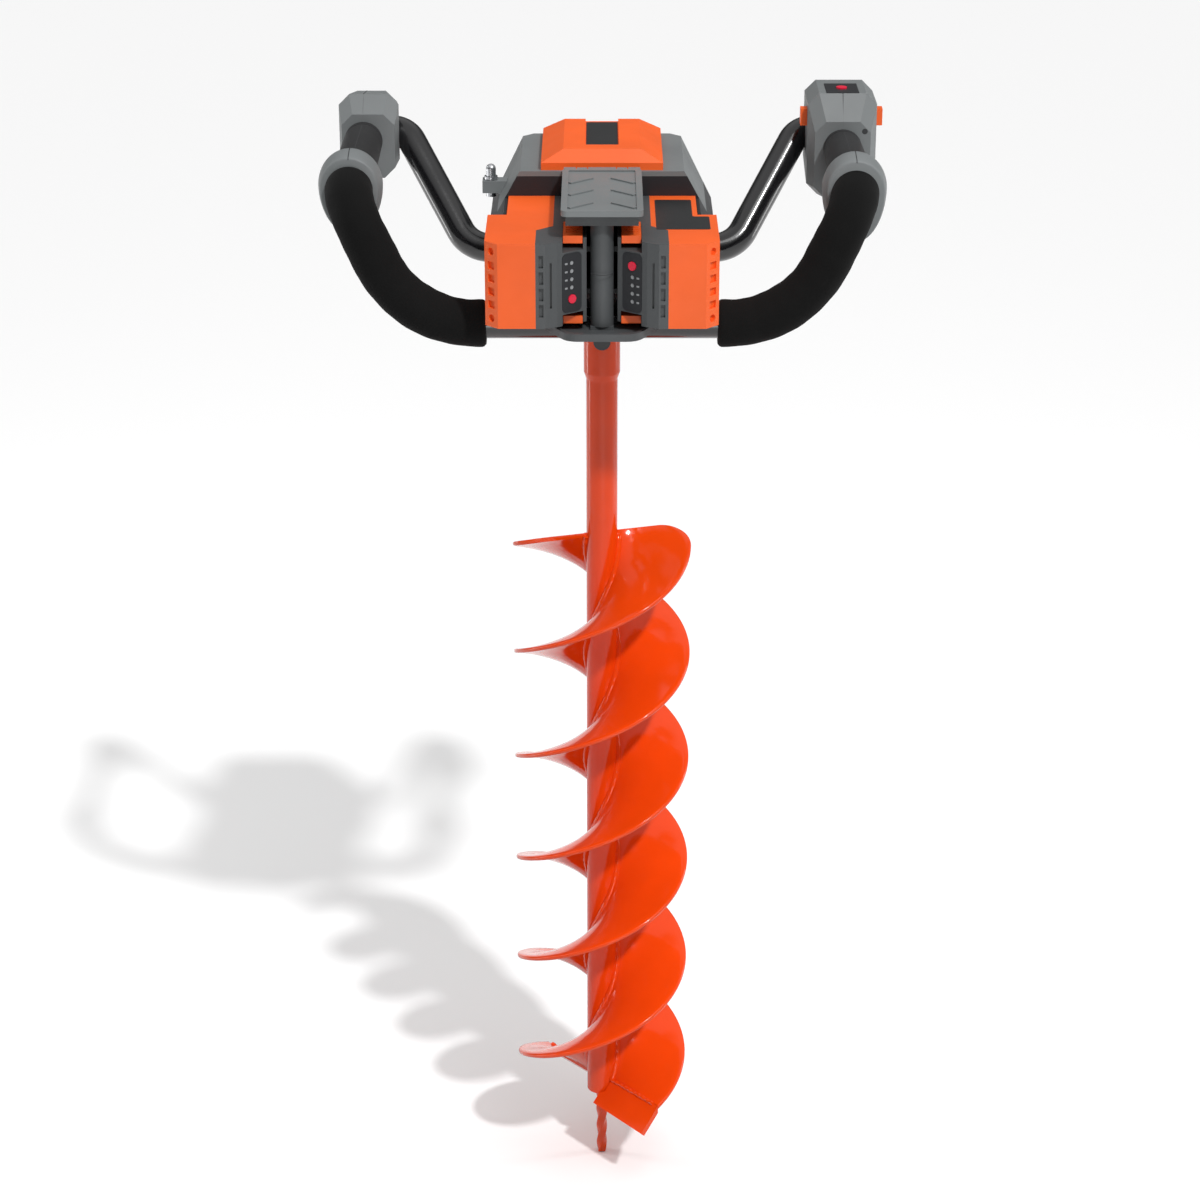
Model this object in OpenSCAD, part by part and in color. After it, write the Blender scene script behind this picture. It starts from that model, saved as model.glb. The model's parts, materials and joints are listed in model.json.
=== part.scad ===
// Battery earth auger: a two-start screw bit, a geared power head with two
// slide-on packs, and one bent tube frame that carries both hand grips.
// Millimetres. The pilot tip is the origin, +Z is up along the bit and the
// packs face -Y, towards the person who holds the grips.

/* [Bit] */
// Diameter that the flights cut
bit_d = 150; // [120:1:170]
// Length from the pilot tip to the top of the socket
bit_len = 800; // [700:1:1000]
// Rise of one flight in a full turn
lead = 196.5; // [160:0.5:230]
// Thickness of the flight plate
flight_t = 4; // [3:0.5:6]
// Height of the lower end of the flights
flight_low = 82; // [74:1:100]
// Turns of each flight
flight_turns = 2.68; // [1.5:0.01:2.8]
// Diameter of the bit's shaft
shaft_d = 26; // [24:0.5:28]
// Outer diameter of the socket
socket_d = 30; // [29:0.5:40]
// Length of the socket
socket_len = 56; // [54:1:80]
// Height of the lower end of the shaft, where the pilot point starts
shaft_low = 68; // [64:1:72]
// Width of the pilot point where it meets the shaft
pilot_w = 8; // [7:0.5:11]
// Length of a cutting blade down its slope
blade_w = 29; // [20:1:34]
// Thickness of a cutting blade
blade_t = 5; // [4:0.5:7]
// Diameter of the bolt through the socket
bolt_d = 10; // [8:0.5:11]
// Depth of the bolt below the top of the socket
bolt_drop = 19; // [16:1:28]

/* [Drive] */
// Diameter of the output shaft
drive_d = 20; // [18:0.5:21]
// Length of the output shaft inside the socket
drive_grip = 44; // [36:1:48]
// Tooth size of all gears
gear_module = 1.5; // [1.4:0.05:1.55]
// Teeth of the output gear
out_teeth = 48; // [44:4:52]
// Teeth of the layshaft gear
lay_teeth = 40; // [36:4:44]
// Teeth of both pinions
pinion_teeth = 12; // [12:4:16]
// Diameter of the motor can
motor_d = 76; // [72:1:84]
// Height of the motor can
motor_h = 62; // [56:1:64]

/* [Packs] */
// Width of a pack, across the machine
pack_w = 78; // [74:1:84]
// Height of a pack
pack_h = 67; // [64:1:72]
// Length of a pack
pack_len = 142; // [136:1:160]
// Wall of the pack mouldings
pack_wall = 2.5; // [2:0.25:3]
// Diameter of a cell
cell_d = 18.3; // [17:0.1:18.6]
// Length of a cell
cell_len = 64; // [60:0.5:65]

/* [Housing] */
// Half width of the housing at its widest
house_half = 91; // [89:1:110]
// Gap between the motor and the rear wall of the housing
motor_room = 3.5; // [2.5:0.5:20]
// Wall of the housing
house_wall = 3; // [2.5:0.25:3.5]
// Thickness of the wall between the packs
spine_w = 18; // [16:1:20]
// Height of the orange cover above the ledge
cover_h = 15.5; // [13:0.5:22]
// Width of the hinged lid
lid_w = 63; // [60:1:72]

/* [Handles] */
// Diameter of the frame tube
tube_d = 24; // [22:0.5:25]
// Wall of the frame tube
tube_wall = 2; // [1.5:0.25:3]
// Distance of each grip from the middle
grip_x = 199; // [190:1:215]
// Height of the grips above the gear case
grip_h = 112; // [100:1:130]
// Diameter of a rubber grip
grip_d = 33; // [31:0.5:34]
// Diameter of the foam sleeves
foam_d = 38; // [35:0.5:40]

/* [Hidden] */
$fn = 64;
// Running clearance of a shaft in its bore, on the radius
fit = 0.05;
// Gap between parts that slide or seat loosely
gap = 0.4;
// Hairline between the runs and bends of a pipe
seam = 0.02;

// Everything in the head is measured from the bottom of the gear case.
socket_gap = 3;
head_z = bit_len + socket_gap;

// Gear case levels
case_floor = 11.5;
case_top = 22;
plate_t = 3.5;
roof_low = 31;
roof_t = 4;
roof_top = roof_low + roof_t;
case_wall = 4;
seal_h = 4;
bearing_d = 37;

// Gear places
out_r = gear_module * out_teeth / 2;
lay_r = gear_module * lay_teeth / 2;
pin_r = gear_module * pinion_teeth / 2;
lay_y = out_r + pin_r;
motor_y = lay_y + lay_r + pin_r;
tip = 0.95 * gear_module;
backlash = 0.25;
pressure = 25;
lay_d = 10;
motor_shaft_d = 8;
out_room = out_r + tip + 1.5;
lay_room = lay_r + tip + 1.5;
pin_room = pin_r + tip + 2.5;

// Packs
pack_low = 27;
pack_top = pack_low + pack_h;
pack_mid = pack_low + pack_h / 2;
house_front = 2.5;
pack_back = house_front - 0.5;
pack_front = pack_back - pack_len;
pack_in = spine_w / 2 + 3;
pack_out = pack_in + pack_w;
tail_in = 15;
tail_len = 57;
chamfer = 10;
split_front = 51;
split_back = 38;
gauge_x = pack_in + 22.5;
gauge_fall = 16;
gauge_lead = 4;
gauge_turn = atan2(gauge_fall, gauge_x - pack_in);
rail_h = 4;
rail_out = 4;
rail_rise = 17;
cell_side = pack_out - tail_in - pack_wall - cell_d / 2 - 0.2;
cell_x = [cell_side - cell_d - 0.4, cell_side];
cell_front = pack_front + 7.5;
latch_in = pack_in + 3;
latch_w = 15;
latch_len = 40;
latch_t = 6;
latch_travel = 4;
latch_proud = 1.5;
latch_y = pack_front + gauge_fall + 3;

// Housing
house_low = 12;
ledge = pack_top + 20;
house_back = motor_y + motor_d / 2 + motor_room + house_wall;
house_len = house_back - house_front;
slope_low = pack_top - 26;
ledge_half = house_half - 25;
rim_h = 34;
front_wall_top = ledge - 4;
cover_half = 49;
cover_front = house_front + 3.5;
cover_back = house_back - 6;
opening_half = cover_half - 5;

// Lid
lid_top = ledge + 4.5;
lid_t = 4.5;
lid_front = pack_front + 5;
hinge_r = 3.6;
hinge_y = house_front - 4.5;
hinge_h = lid_top - hinge_r;
lid_back = hinge_y - hinge_r - 1;
lid_pin_d = 4;
spine_top = lid_top - lid_t - 0.3;
spine_front = pack_front + 18;
tray_low = 16.5;
tray_h = 6;

// Frame tube corners for the right-hand side, seen from behind the packs
tube_r = tube_d / 2;
cross_y = -80;
cross_h = pack_low - latch_proud - tube_r - 0.6;
side_y = 72;
side_h = 31;
side_end = [house_half - 21, side_y, side_h];
side_bend = [house_half + 19, side_y, side_h];
rise_bend = [grip_x - 34, 138, grip_h + 3];
back_bend = [grip_x, 148, grip_h];
front_bend = [grip_x, cross_y, grip_h];
low_bend = [grip_x - 46, cross_y, cross_h];
middle = [0.2, cross_y, cross_h];
front_radius = 32;
low_radius = 84;
low_trim = low_radius * tan(acos(unit(low_bend - front_bend) * [-1, 0, 0]) / 2);
handle_path = [side_end, side_bend, rise_bend, back_bend, front_bend, low_bend, middle];
handle_radii = [28, 22, 17, front_radius, low_radius];

// Grips, housings and collars: the right-hand switch housing is the bigger
left_house_front = 112;
left_house_len = 52;
right_house_front = 86;
right_house_len = 74;
left_collar_back = -22;
right_collar_back = -32;
collar_len = 25;
foam_back = cross_y + front_radius + 3;
foam_end_x = min(pack_out + 1.2, low_bend.x - low_trim - 2);
house_skin = 2.5;

// Trigger, selector and button
trigger_y = 98;
trigger_h = grip_h - 29;
trigger_w = 14;
trigger_pin_d = 5;
trigger_reach = 66;
trigger_t = 8;
selector_y = 112;
selector_h = grip_h + tube_r + 9;
selector_w = 10;
selector_t = 7;
selector_pad = 14;
selector_half = 34;
switch_house_half = 28.5;
panel_top = grip_h + 43;
panel_y = 116;
panel_w = 27;
panel_len = 34;
button_d = 9;
button_proud = 1.5;

// Spare pin carried in a clip on the left side of the housing
pin_d = 8;
pin_y = 62;
pin_low = 82;
pin_len = 20;
pin_x = -(house_half + 0.2);

// Colours
orange = [0.95, 0.35, 0.13];
mid_grey = [0.40, 0.42, 0.43];
dark_grey = [0.20, 0.21, 0.22];
black = [0.06, 0.06, 0.06];
steel = [0.70, 0.71, 0.73];

// Helpers

module in_head() {
    translate([0, 0, head_z]) children();
}

// Puts a right-hand pack piece in the left-hand place: half a turn about +Y.
module left_pack() {
    translate([0, 0, pack_mid]) rotate([0, 180, 0]) translate([0, 0, -pack_mid]) children();
}

module ring(outer_r, inner_r, low, high) {
    translate([0, 0, low]) difference() {
        cylinder(r = outer_r, h = high - low);
        translate([0, 0, -1]) cylinder(r = inner_r, h = high - low + 2);
    }
}

// A block given by two opposite corners
module block(a, b) {
    translate(a) cube(b - a);
}

// Straight length of round bar, or of pipe where hole is not zero
module pipe_run(p, q, r, hole) {
    d = q - p;
    translate(p) rotate([0, acos(d.z / norm(d)), atan2(d.y, d.x)]) linear_extrude(norm(d))
        pipe_section(r, hole);
}

module pipe_section(r, hole) {
    difference() {
        circle(r = r);
        if (hole > 0) circle(r = hole);
    }
}

function unit(v) = v / norm(v);
function turn_at(pts, i) = acos(unit(pts[i] - pts[i - 1]) * unit(pts[i + 1] - pts[i]));
// Length of straight tube that a bend uses up on each side of its corner
function trim_at(pts, radii, i) =
    i == 0 || i == len(pts) - 1 ? 0 : radii[i - 1] * tan(turn_at(pts, i) / 2);

module elbow(pts, i, bend, r, hole) {
    a = unit(pts[i] - pts[i - 1]);
    b = unit(pts[i + 1] - pts[i]);
    turn = turn_at(pts, i);
    inward = unit(b - a * (a * b));
    axis = unit(cross(a, b));
    centre = pts[i] - a * bend * tan(turn / 2) + inward * bend;
    multmatrix([[-inward.x, a.x, axis.x, centre.x],
        [-inward.y, a.y, axis.y, centre.y],
        [-inward.z, a.z, axis.z, centre.z]])
        rotate_extrude(angle = turn) translate([bend, 0]) pipe_section(r, hole);
}

// Pipe along straight runs joined by bends of the given radii. Runs and bends
// are separate solids that meet at hairline seams.
module bent_pipe(pts, radii, r, hole) {
    for (i = [0 : len(pts) - 2]) {
        d = unit(pts[i + 1] - pts[i]);
        pipe_run(pts[i] + d * (trim_at(pts, radii, i) + seam),
            pts[i + 1] - d * (trim_at(pts, radii, i + 1) + seam), r, hole);
    }
    for (i = [1 : len(pts) - 2]) elbow(pts, i, radii[i - 1], r, hole);
}

// Arc from one bearing through a turn, as points round a middle
function arc(middle, r, from, turn, steps) =
    [for (k = [0 : steps]) middle + r * [cos(from + turn * k / steps), sin(from + turn * k / steps)]];

// Outline, given anticlockwise, with each corner rounded: one radius, or a radius for each corner
function soft(pts, radii, steps = 6) = [for (i = [0 : len(pts) - 1])
    let (p = pts[i],
        a = unit(pts[(i + len(pts) - 1) % len(pts)] - p),
        b = unit(pts[(i + 1) % len(pts)] - p),
        r = is_list(radii) ? radii[i] : radii,
        half = acos(a * b) / 2,
        middle = p + unit(a + b) * r / sin(half),
        start = p + a * r / tan(half) - middle)
    each arc(middle, r, atan2(start.y, start.x), 180 - 2 * half, steps)];

// Mirror image of a path, for the left-hand side
function on_left(pts) = [for (p = pts) [-p.x, p.y, p.z]];

// Straight-sided outline round a row of circles on the Y axis
module belt(y0, r0, y1, r1) {
    s = (r0 - r1) / (y1 - y0);
    c = sqrt(1 - s * s);
    translate([0, y0]) circle(r = r0);
    translate([0, y1]) circle(r = r1);
    polygon([[-r0 * c, y0 + r0 * s], [r0 * c, y0 + r0 * s], [r1 * c, y1 + r1 * s],
        [-r1 * c, y1 + r1 * s]]);
}

// Gears
function involute(base, a) = [base * (cos(a) + a * PI / 180 * sin(a)),
    base * (sin(a) - a * PI / 180 * cos(a))];
function roll_to(base, r) = sqrt(pow(r / base, 2) - 1) * 180 / PI;
function polar(p) = atan2(p.y, p.x);

// One gear outline with a tooth centred on +X
module gear_outline(teeth) {
    pitch_r = gear_module * teeth / 2;
    base = pitch_r * cos(pressure);
    root = pitch_r - 1.25 * gear_module;
    top = pitch_r + tip;
    low = max(base, root);
    half = 90 / teeth - backlash / 4 / pitch_r * 180 / PI;
    at_pitch = polar(involute(base, roll_to(base, pitch_r)));
    steps = 4;
    flank = [for (k = [0 : steps])
        let (r = low + (top - low) * k / steps, p = involute(base, roll_to(base, r)))
        [norm(p), half + at_pitch - polar(p)]];
    tooth = concat([[root, -flank[0][1]]], [for (f = flank) [f[0], -f[1]]],
        [for (k = [steps : -1 : 0]) [flank[k][0], flank[k][1]]], [[root, flank[0][1]]]);
    polygon([for (n = [0 : teeth - 1]) for (t = tooth)
        t[0] * [cos(t[1] + n * 360 / teeth), sin(t[1] + n * 360 / teeth)]]);
}

module gear(teeth, low, high, bore) {
    translate([0, 0, low]) linear_extrude(high - low) difference() {
        gear_outline(teeth);
        if (bore > 0) circle(r = bore);
    }
}

// Bit
shoulder = 6;
socket_low = bit_len - socket_len;
bolt_z = bit_len - bolt_drop;
flight_r = bit_d / 2;
flight_in = shaft_d / 2 + 0.12;
flight_start = 132;
flight_step = 12;
flight_end = flight_turns * 360;
// The upper outer corner of a flight is rounded
corner_r = 25;
corner_turn = corner_r / flight_r * 180 / PI;
corner_steps = 6;
plain_steps = floor((flight_end - corner_turn) / flight_step);
flight_places = concat([for (k = [0 : plain_steps - 1]) k * (flight_end - corner_turn) / plain_steps],
    [for (k = [0 : corner_steps]) flight_end - corner_turn * (1 - sin(90 * k / corner_steps))]);
flight_steps = len(flight_places) - 1;

module bit_shaft() {
    color(orange) difference() {
        union() {
            translate([0, 0, shaft_low]) cylinder(d = shaft_d, h = socket_low - shaft_low);
            translate([0, 0, socket_low]) cylinder(d1 = shaft_d, d2 = socket_d, h = shoulder);
            translate([0, 0, socket_low + shoulder]) cylinder(d = socket_d, h = socket_len - shoulder);
        }
        translate([0, 0, bit_len - drive_grip - 2]) cylinder(r = drive_d / 2 + fit, h = drive_grip + 3);
        translate([0, 0, bolt_z]) rotate([90, 0, 0])
            cylinder(r = bolt_d / 2 + fit, h = 2 * socket_d, center = true);
    }
}

// Corner of the flight's section: a right-hand screw that rises as it turns
function screw_point(r, turn, drop) =
    let (a = flight_start + turn)
    [-r * cos(a), -r * sin(a), flight_low + lead * turn / 360 - drop];

// Reach of the flight's edge from the axis
function edge_r(turn) =
    let (share = max(0, (turn - flight_end) / corner_turn + 1))
    flight_r - corner_r * (1 - sqrt(max(0, 1 - share * share)));

module flight() {
    pts = [for (t = flight_places) each [screw_point(flight_in, t, 0), screw_point(edge_r(t), t, 0),
        screw_point(edge_r(t), t, flight_t), screw_point(flight_in, t, flight_t)]];
    sides = [for (k = [0 : flight_steps - 1]) for (c = [0 : 3])
        let (a = 4 * k + c, b = 4 * k + (c + 1) % 4)
        each [[a, b, a + 4], [b, b + 4, a + 4]]];
    last = 4 * flight_steps;
    ends = [[0, 2, 1], [0, 3, 2], [last, last + 1, last + 2], [last, last + 2, last + 3]];
    polyhedron(points = pts, faces = concat(sides, ends));
}

module flight_a() {
    color(orange) flight();
}

module flight_b() {
    color(orange) rotate(180) flight();
}

// Flat blade that carries on from the end of a flight, dipping at 45 degrees
module blade() {
    dip = 45;
    rear = 8;
    inner = shaft_d / 2 + 1;
    // Below the end of the shaft the blade steps in towards the pilot point
    toe = inner - 4.5;
    step_in = min((flight_low - shaft_low) / sin(dip) - blade_t, blade_w - 6);
    rotate(180 + flight_start) translate([0, 0, flight_low]) difference() {
        rotate([dip, 0, 0]) translate([0, 0, -blade_t]) linear_extrude(blade_t)
            polygon([[inner, rear], [flight_r, rear], [flight_r, -blade_w], [toe, 2 - blade_w],
                [toe, -step_in - 2], [inner, 2 - step_in]]);
        block([0, -0.3, -40], [flight_r + 1, 40, 40]);
    }
}

module cutting_blades() {
    color(orange) for (a = [0, 180]) rotate(a) blade();
}

// Square bar, twisted, a little narrower at its blunt tip
module pilot_point() {
    tip_share = 0.85;
    color(orange) translate([0, 0, shaft_low]) rotate([180, 0, 0])
        linear_extrude(shaft_low, twist = 340, scale = tip_share, slices = 28)
            square(pilot_w, center = true);
}

module cross_bolt() {
    head_d = bolt_d + 4;
    head_t = 5;
    reach = socket_d / 2 + 0.3;
    color(black) translate([0, 0, bolt_z]) rotate([90, 0, 0]) {
        translate([0, 0, -reach - 10]) cylinder(d = bolt_d, h = 2 * reach + 10);
        translate([0, 0, reach]) cylinder(d = head_d, h = head_t);
        translate([0, 0, -reach - 8]) ring(bolt_d * 0.85, bolt_d / 2 + fit, 0, 8);
    }
}

// Drive train

module output_shaft() {
    journal_d = 12;
    color(steel) difference() {
        union() {
            translate([0, 0, bit_len - drive_grip])
                cylinder(d = drive_d, h = head_z + case_top - 1 - bit_len + drive_grip);
            translate([0, 0, head_z + case_top - 1]) cylinder(d = journal_d, h = plate_t + 0.5);
        }
        translate([0, 0, bolt_z]) rotate([90, 0, 0])
            cylinder(r = bolt_d / 2 + fit, h = 2 * drive_d, center = true);
    }
}

module output_gear() {
    color(steel) in_head() gear(out_teeth, case_floor + 0.6, case_top - 1, drive_d / 2 + fit);
}

module layshaft() {
    color(steel) in_head() translate([0, lay_y, 0]) {
        translate([0, 0, seal_h + 0.3]) cylinder(d = lay_d, h = roof_top - 1 - seal_h);
        rotate(180 / pinion_teeth) gear(pinion_teeth, case_floor + 0.4, case_top + 0.8, 0);
        gear(lay_teeth, case_top + 1.5, roof_low - 0.8, 0);
    }
}

rotor_r = motor_d / 2 - 17.4;
stator_low = roof_top + 10;
stator_high = roof_top + motor_h - 8;
can_top = roof_top + motor_h;
end_plate_t = 6;
fan_low = can_top + end_plate_t + 1;
fan_h = 7;
motor_bearing_d = 22;

module motor_rotor() {
    color(steel) in_head() translate([0, motor_y, 0]) {
        translate([0, 0, case_top + 0.6])
            cylinder(d = motor_shaft_d, h = fan_low + fan_h - case_top - 0.6);
        rotate(180 / pinion_teeth) gear(pinion_teeth, case_top + 0.9, roof_low - 0.5, 0);
        translate([0, 0, stator_low]) cylinder(r = rotor_r, h = stator_high - stator_low);
    }
}

module cooling_fan() {
    blades = 9;
    fan_r = motor_d / 2 - 5;
    color(black) in_head() translate([0, motor_y, fan_low]) difference() {
        union() {
            cylinder(r = fan_r, h = 1.6);
            cylinder(d = motor_shaft_d + 8, h = fan_h);
            for (n = [0 : blades - 1]) rotate(n * 360 / blades)
                block([motor_shaft_d / 2 + 3, -0.8, 1], [fan_r - 1, 0.8, fan_h]);
        }
        translate([0, 0, -1]) cylinder(r = motor_shaft_d / 2 + fit, h = fan_h + 2);
    }
}

module motor_stator() {
    wall = 4;
    color(steel) in_head() translate([0, motor_y, 0]) difference() {
        union() {
            ring(motor_d / 2, motor_d / 2 - wall, roof_top, can_top);
            ring(motor_d / 2 - 1, motor_bearing_d / 2 - 3, roof_top, roof_top + wall);
            ring(motor_d / 2 - 1, rotor_r + 0.6, stator_low, stator_high);
        }
        translate([0, 0, roof_top + 1]) cylinder(r = motor_bearing_d / 2 + fit, h = wall);
    }
}

module motor_end_plate() {
    color(steel) in_head() translate([0, motor_y, can_top]) difference() {
        cylinder(d = motor_d, h = end_plate_t);
        translate([0, 0, -1]) cylinder(r = motor_shaft_d / 2 + 1, h = end_plate_t + 2);
        translate([0, 0, -1]) cylinder(r = motor_bearing_d / 2 + fit, h = end_plate_t);
        for (a = [0 : 60 : 300]) rotate(a) translate([motor_d / 2 - 15, 0, -1])
            cylinder(d = 14, h = end_plate_t + 2);
    }
}

module motor_bearings() {
    color(steel) in_head() translate([0, motor_y, 0]) {
        ring(motor_bearing_d / 2, motor_shaft_d / 2 + fit, roof_top + 1, roof_top + 7);
        ring(motor_bearing_d / 2, motor_shaft_d / 2 + fit, can_top - 2, can_top + end_plate_t - 1);
    }
}

// Outline of the gear case with a given wall round the gears
module case_outline(wall) {
    belt(0, out_room + wall, lay_y, lay_room + wall);
    belt(lay_y, lay_room + wall, motor_y, pin_room + wall);
}

// Outline of the room for the layshaft gear and the motor pinion
module upper_room(wall) {
    belt(lay_y, lay_room + wall, motor_y, pin_room + wall);
}

ear_r = 7;
screw_d = 5;
// Screw ears on both sides of the case, next to the output and the motor
ear_x = lay_room + case_wall + 3;
ears = [for (s = [-1, 1]) each [[s * ear_x, lay_y - 16],
    [s * (pin_room + case_wall + 3), motor_y + 4]]];

module case_ears() {
    for (e = ears) translate(e) circle(r = ear_r);
}

module ear_holes(r) {
    for (e = ears) translate([e.x, e.y, -1]) cylinder(r = r, h = roof_top + 2);
}

// Flat pad at the front of the case that the tube saddle is bolted to
pad_half = 28;
pad_y = -(out_room + case_wall + 1);
saddle_bolt_h = 6;
saddle_bolt_x = 18;

module gear_case() {
    color(dark_grey) in_head() difference() {
        union() {
            linear_extrude(case_top) {
                case_outline(case_wall);
                case_ears();
            }
            block([-pad_half, pad_y, 0], [pad_half, 0, case_top - 4]);
        }
        translate([0, 0, case_floor]) linear_extrude(case_top) case_outline(0);
        translate([0, 0, -1]) cylinder(d = bearing_d - 5, h = seal_h + 1);
        translate([0, 0, seal_h]) cylinder(r = bearing_d / 2 + fit, h = case_floor);
        translate([0, lay_y, seal_h]) cylinder(r = lay_d / 2 + fit, h = case_floor);
        ear_holes(screw_d / 2 + fit);
        for (s = [-1, 1]) translate([s * saddle_bolt_x, pad_y - 1, saddle_bolt_h]) rotate([-90, 0, 0])
            cylinder(r = screw_d / 2 + fit, h = case_wall + 8);
    }
}

module gear_case_cover() {
    color(dark_grey) in_head() difference() {
        union() {
            translate([0, 0, case_top]) linear_extrude(plate_t) {
                case_outline(case_wall);
                case_ears();
            }
            translate([0, 0, case_top]) linear_extrude(roof_top - case_top) upper_room(case_wall);
        }
        translate([0, 0, case_top - 1]) linear_extrude(roof_low - case_top + 1) upper_room(0);
        translate([0, 0, case_top - 1]) cylinder(r = 6 + fit, h = plate_t + 2);
        translate([0, lay_y, 0]) cylinder(r = lay_d / 2 + fit, h = roof_top - 0.5);
        translate([0, motor_y, 0]) cylinder(r = motor_shaft_d / 2 + 1, h = roof_top + 1);
        ear_holes(screw_d / 2 + fit);
    }
}

module output_bearing() {
    color(steel) in_head() ring(bearing_d / 2, drive_d / 2 + fit, seal_h, case_floor);
}

module shaft_seal() {
    color(black) in_head() ring(bearing_d / 2 - 2.6, drive_d / 2 + fit, 0, seal_h);
}

module case_screws() {
    head_h = 4;
    color(black) in_head() {
        for (e = ears) translate([e.x, e.y, 0]) {
            cylinder(d = screw_d, h = case_top + plate_t);
            translate([0, 0, -head_h]) cylinder(d = screw_d * 1.7, h = head_h);
        }
        for (s = [-1, 1]) translate([s * saddle_bolt_x, saddle_seat, saddle_bolt_h])
            rotate([-90, 0, 0]) {
            cylinder(d = screw_d, h = pad_y + case_wall + 4 - saddle_seat);
            translate([0, 0, -head_h]) cylinder(d = screw_d * 1.7, h = head_h);
        }
    }
}

// Housing

// Cross section of the housing, shrunk by a wall
module house_section(wall) {
    polygon([[-house_half + wall, house_low], [house_half - wall, house_low],
        [house_half - wall, slope_low],
        [ledge_half - wall * 0.6, ledge - wall], [-ledge_half + wall * 0.6, ledge - wall],
            [-house_half + wall, slope_low]]);
}

// Plan of the housing with its cut rear corners, shrunk by a wall
module house_plan(wall) {
    cut = 34;
    x = house_half - wall;
    y0 = house_front + wall;
    y1 = house_back - wall;
    polygon([[-x, y0], [x, y0], [x, y1 - cut], [x - cut, y1], [cut - x, y1], [-x, y1 - cut]]);
}

module house_solid(wall) {
    intersection() {
        translate([0, house_back + 1, 0]) rotate([90, 0, 0]) linear_extrude(house_len + 2)
            house_section(wall);
        linear_extrude(ledge + 1) house_plan(wall);
    }
}

rim_low = ledge - rim_h;

module lower_housing() {
    color(dark_grey) in_head() difference() {
        union() {
            difference() {
                house_solid(0);
                translate([0, 0, house_wall]) house_solid(house_wall);
                block([-house_half, house_front + house_wall, rim_low],
                    [house_half, house_back, ledge + 1]);
                block([-house_half, 0, front_wall_top], [house_half, house_back, ledge + 1]);
            }
            for (s = [-1, 1]) cheek(s);
        }
        translate([0, 0, house_low - 1]) linear_extrude(case_top + plate_t + gap - house_low + 1)
            offset_case(gap);
        for (s = [-1, 1]) translate([s * house_half, side_y, side_h]) rotate([0, 90, 0])
            cylinder(r = tube_r + gap, h = 4 * house_wall, center = true);
        for (s = [-1, 1]) contact_slots(s);
    }
}

// Case outline and ears, grown by a clearance
module offset_case(room) {
    case_outline(case_wall + room);
    for (e = ears) translate(e) circle(r = ear_r + room);
}

// Side wall that guards the narrow tail of a pack
module cheek(s) {
    x0 = pack_out - tail_in + 0.6;
    intersection() {
        block([s > 0 ? x0 : -house_half, house_front - tail_len + 8, pack_low + 4],
            [s > 0 ? house_half : -x0, house_front + house_wall, pack_top - 2]);
        translate([0, house_back, 0]) rotate([90, 0, 0]) linear_extrude(house_len + 2 * tail_len)
            house_section(0);
    }
}

contact_x = pack_in + 12;
contact_gap = 12;
contact_t = 1;
contact_h = 8;
contact_reach = 14;

module contact_blades(s, grow) {
    for (n = [-1 : 1])
        block([s * contact_x - contact_t / 2 - grow, house_front - contact_reach - grow,
            pack_mid + n * contact_gap - contact_h / 2 - grow],
            [s * contact_x + contact_t / 2 + grow, house_front + house_wall + 2,
                pack_mid + n * contact_gap + contact_h / 2 + grow]);
}

module contact_slots(s) {
    contact_blades(s, 0.1);
}

module dock_contacts() {
    color([0.80, 0.60, 0.25]) in_head() for (s = [-1, 1]) contact_blades(s, 0);
}

module upper_housing() {
    lug_w = 8;
    color(mid_grey) in_head() difference() {
        union() {
            difference() {
                house_solid(0);
                house_solid(house_wall);
                block([-house_half - 1, 0, 0], [house_half + 1, house_back + 1, rim_low]);
                block([-house_half, 0, 0], [house_half, house_front + house_wall, front_wall_top]);
            }
            pin_clip();
            for (x = [-16, 16]) {
                block([x - lug_w / 2, hinge_y, ledge - 3],
                    [x + lug_w / 2, house_front + house_wall, ledge]);
                translate([x - lug_w / 2, hinge_y, hinge_h]) rotate([0, 90, 0])
                    cylinder(r = hinge_r - 0.2, h = lug_w);
            }
        }
        block([-opening_half, cover_front + 5, ledge - house_wall - 1],
            [opening_half, cover_back - 5, ledge + 1]);
        translate([0, hinge_y, hinge_h]) rotate([0, 90, 0])
            cylinder(r = lid_pin_d / 2 + fit, h = lid_w, center = true);
    }
}

// Bevelled cap over the motor: a skirt, sloped sides and two ridges with a recess
module cover_form(wall) {
    skirt = 6;
    top_half = 31;
    base = cover_half - wall;
    y0 = cover_front + wall;
    y1 = cover_back - wall;
    high = cover_h - wall;
    hull() {
        block([-base, y0, 0], [base, y1, skirt - wall / 2]);
        block([-top_half + wall, y0 + 8, high - 0.5], [top_half - wall, y1 - 6.5, high]);
    }
}

module top_cover() {
    recess_half = 13.5;
    recess_d = 2.5;
    color(orange) in_head() difference() {
        union() {
            translate([0, 0, ledge]) difference() {
                cover_form(0);
                translate([0, 0, -0.01]) cover_form(house_wall);
            }
            translate([0, 0, ledge - house_wall]) difference() {
                union() {
                    block([-opening_half + gap, cover_front + 5 + gap, 0],
                        [opening_half - gap, cover_back - 5 - gap, house_wall + 1]);
                    block([1 - cover_half, cover_front + 1, house_wall],
                        [cover_half - 1, cover_back - 1, house_wall + 2]);
                }
                block([-opening_half + 3, cover_front + 8, -1],
                    [opening_half - 3, cover_back - 8, house_wall + 3]);
            }
        }
        block([-recess_half, cover_front + 22, ledge + cover_h - recess_d],
            [recess_half, cover_back + 1, ledge + cover_h + 1]);
    }
}

spine_low = max(cross_h + tube_r, case_top + plate_t) + gap;
under_hinge = hinge_h - hinge_r - 0.6;
tray_back = cross_y - tube_r - 3;

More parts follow.
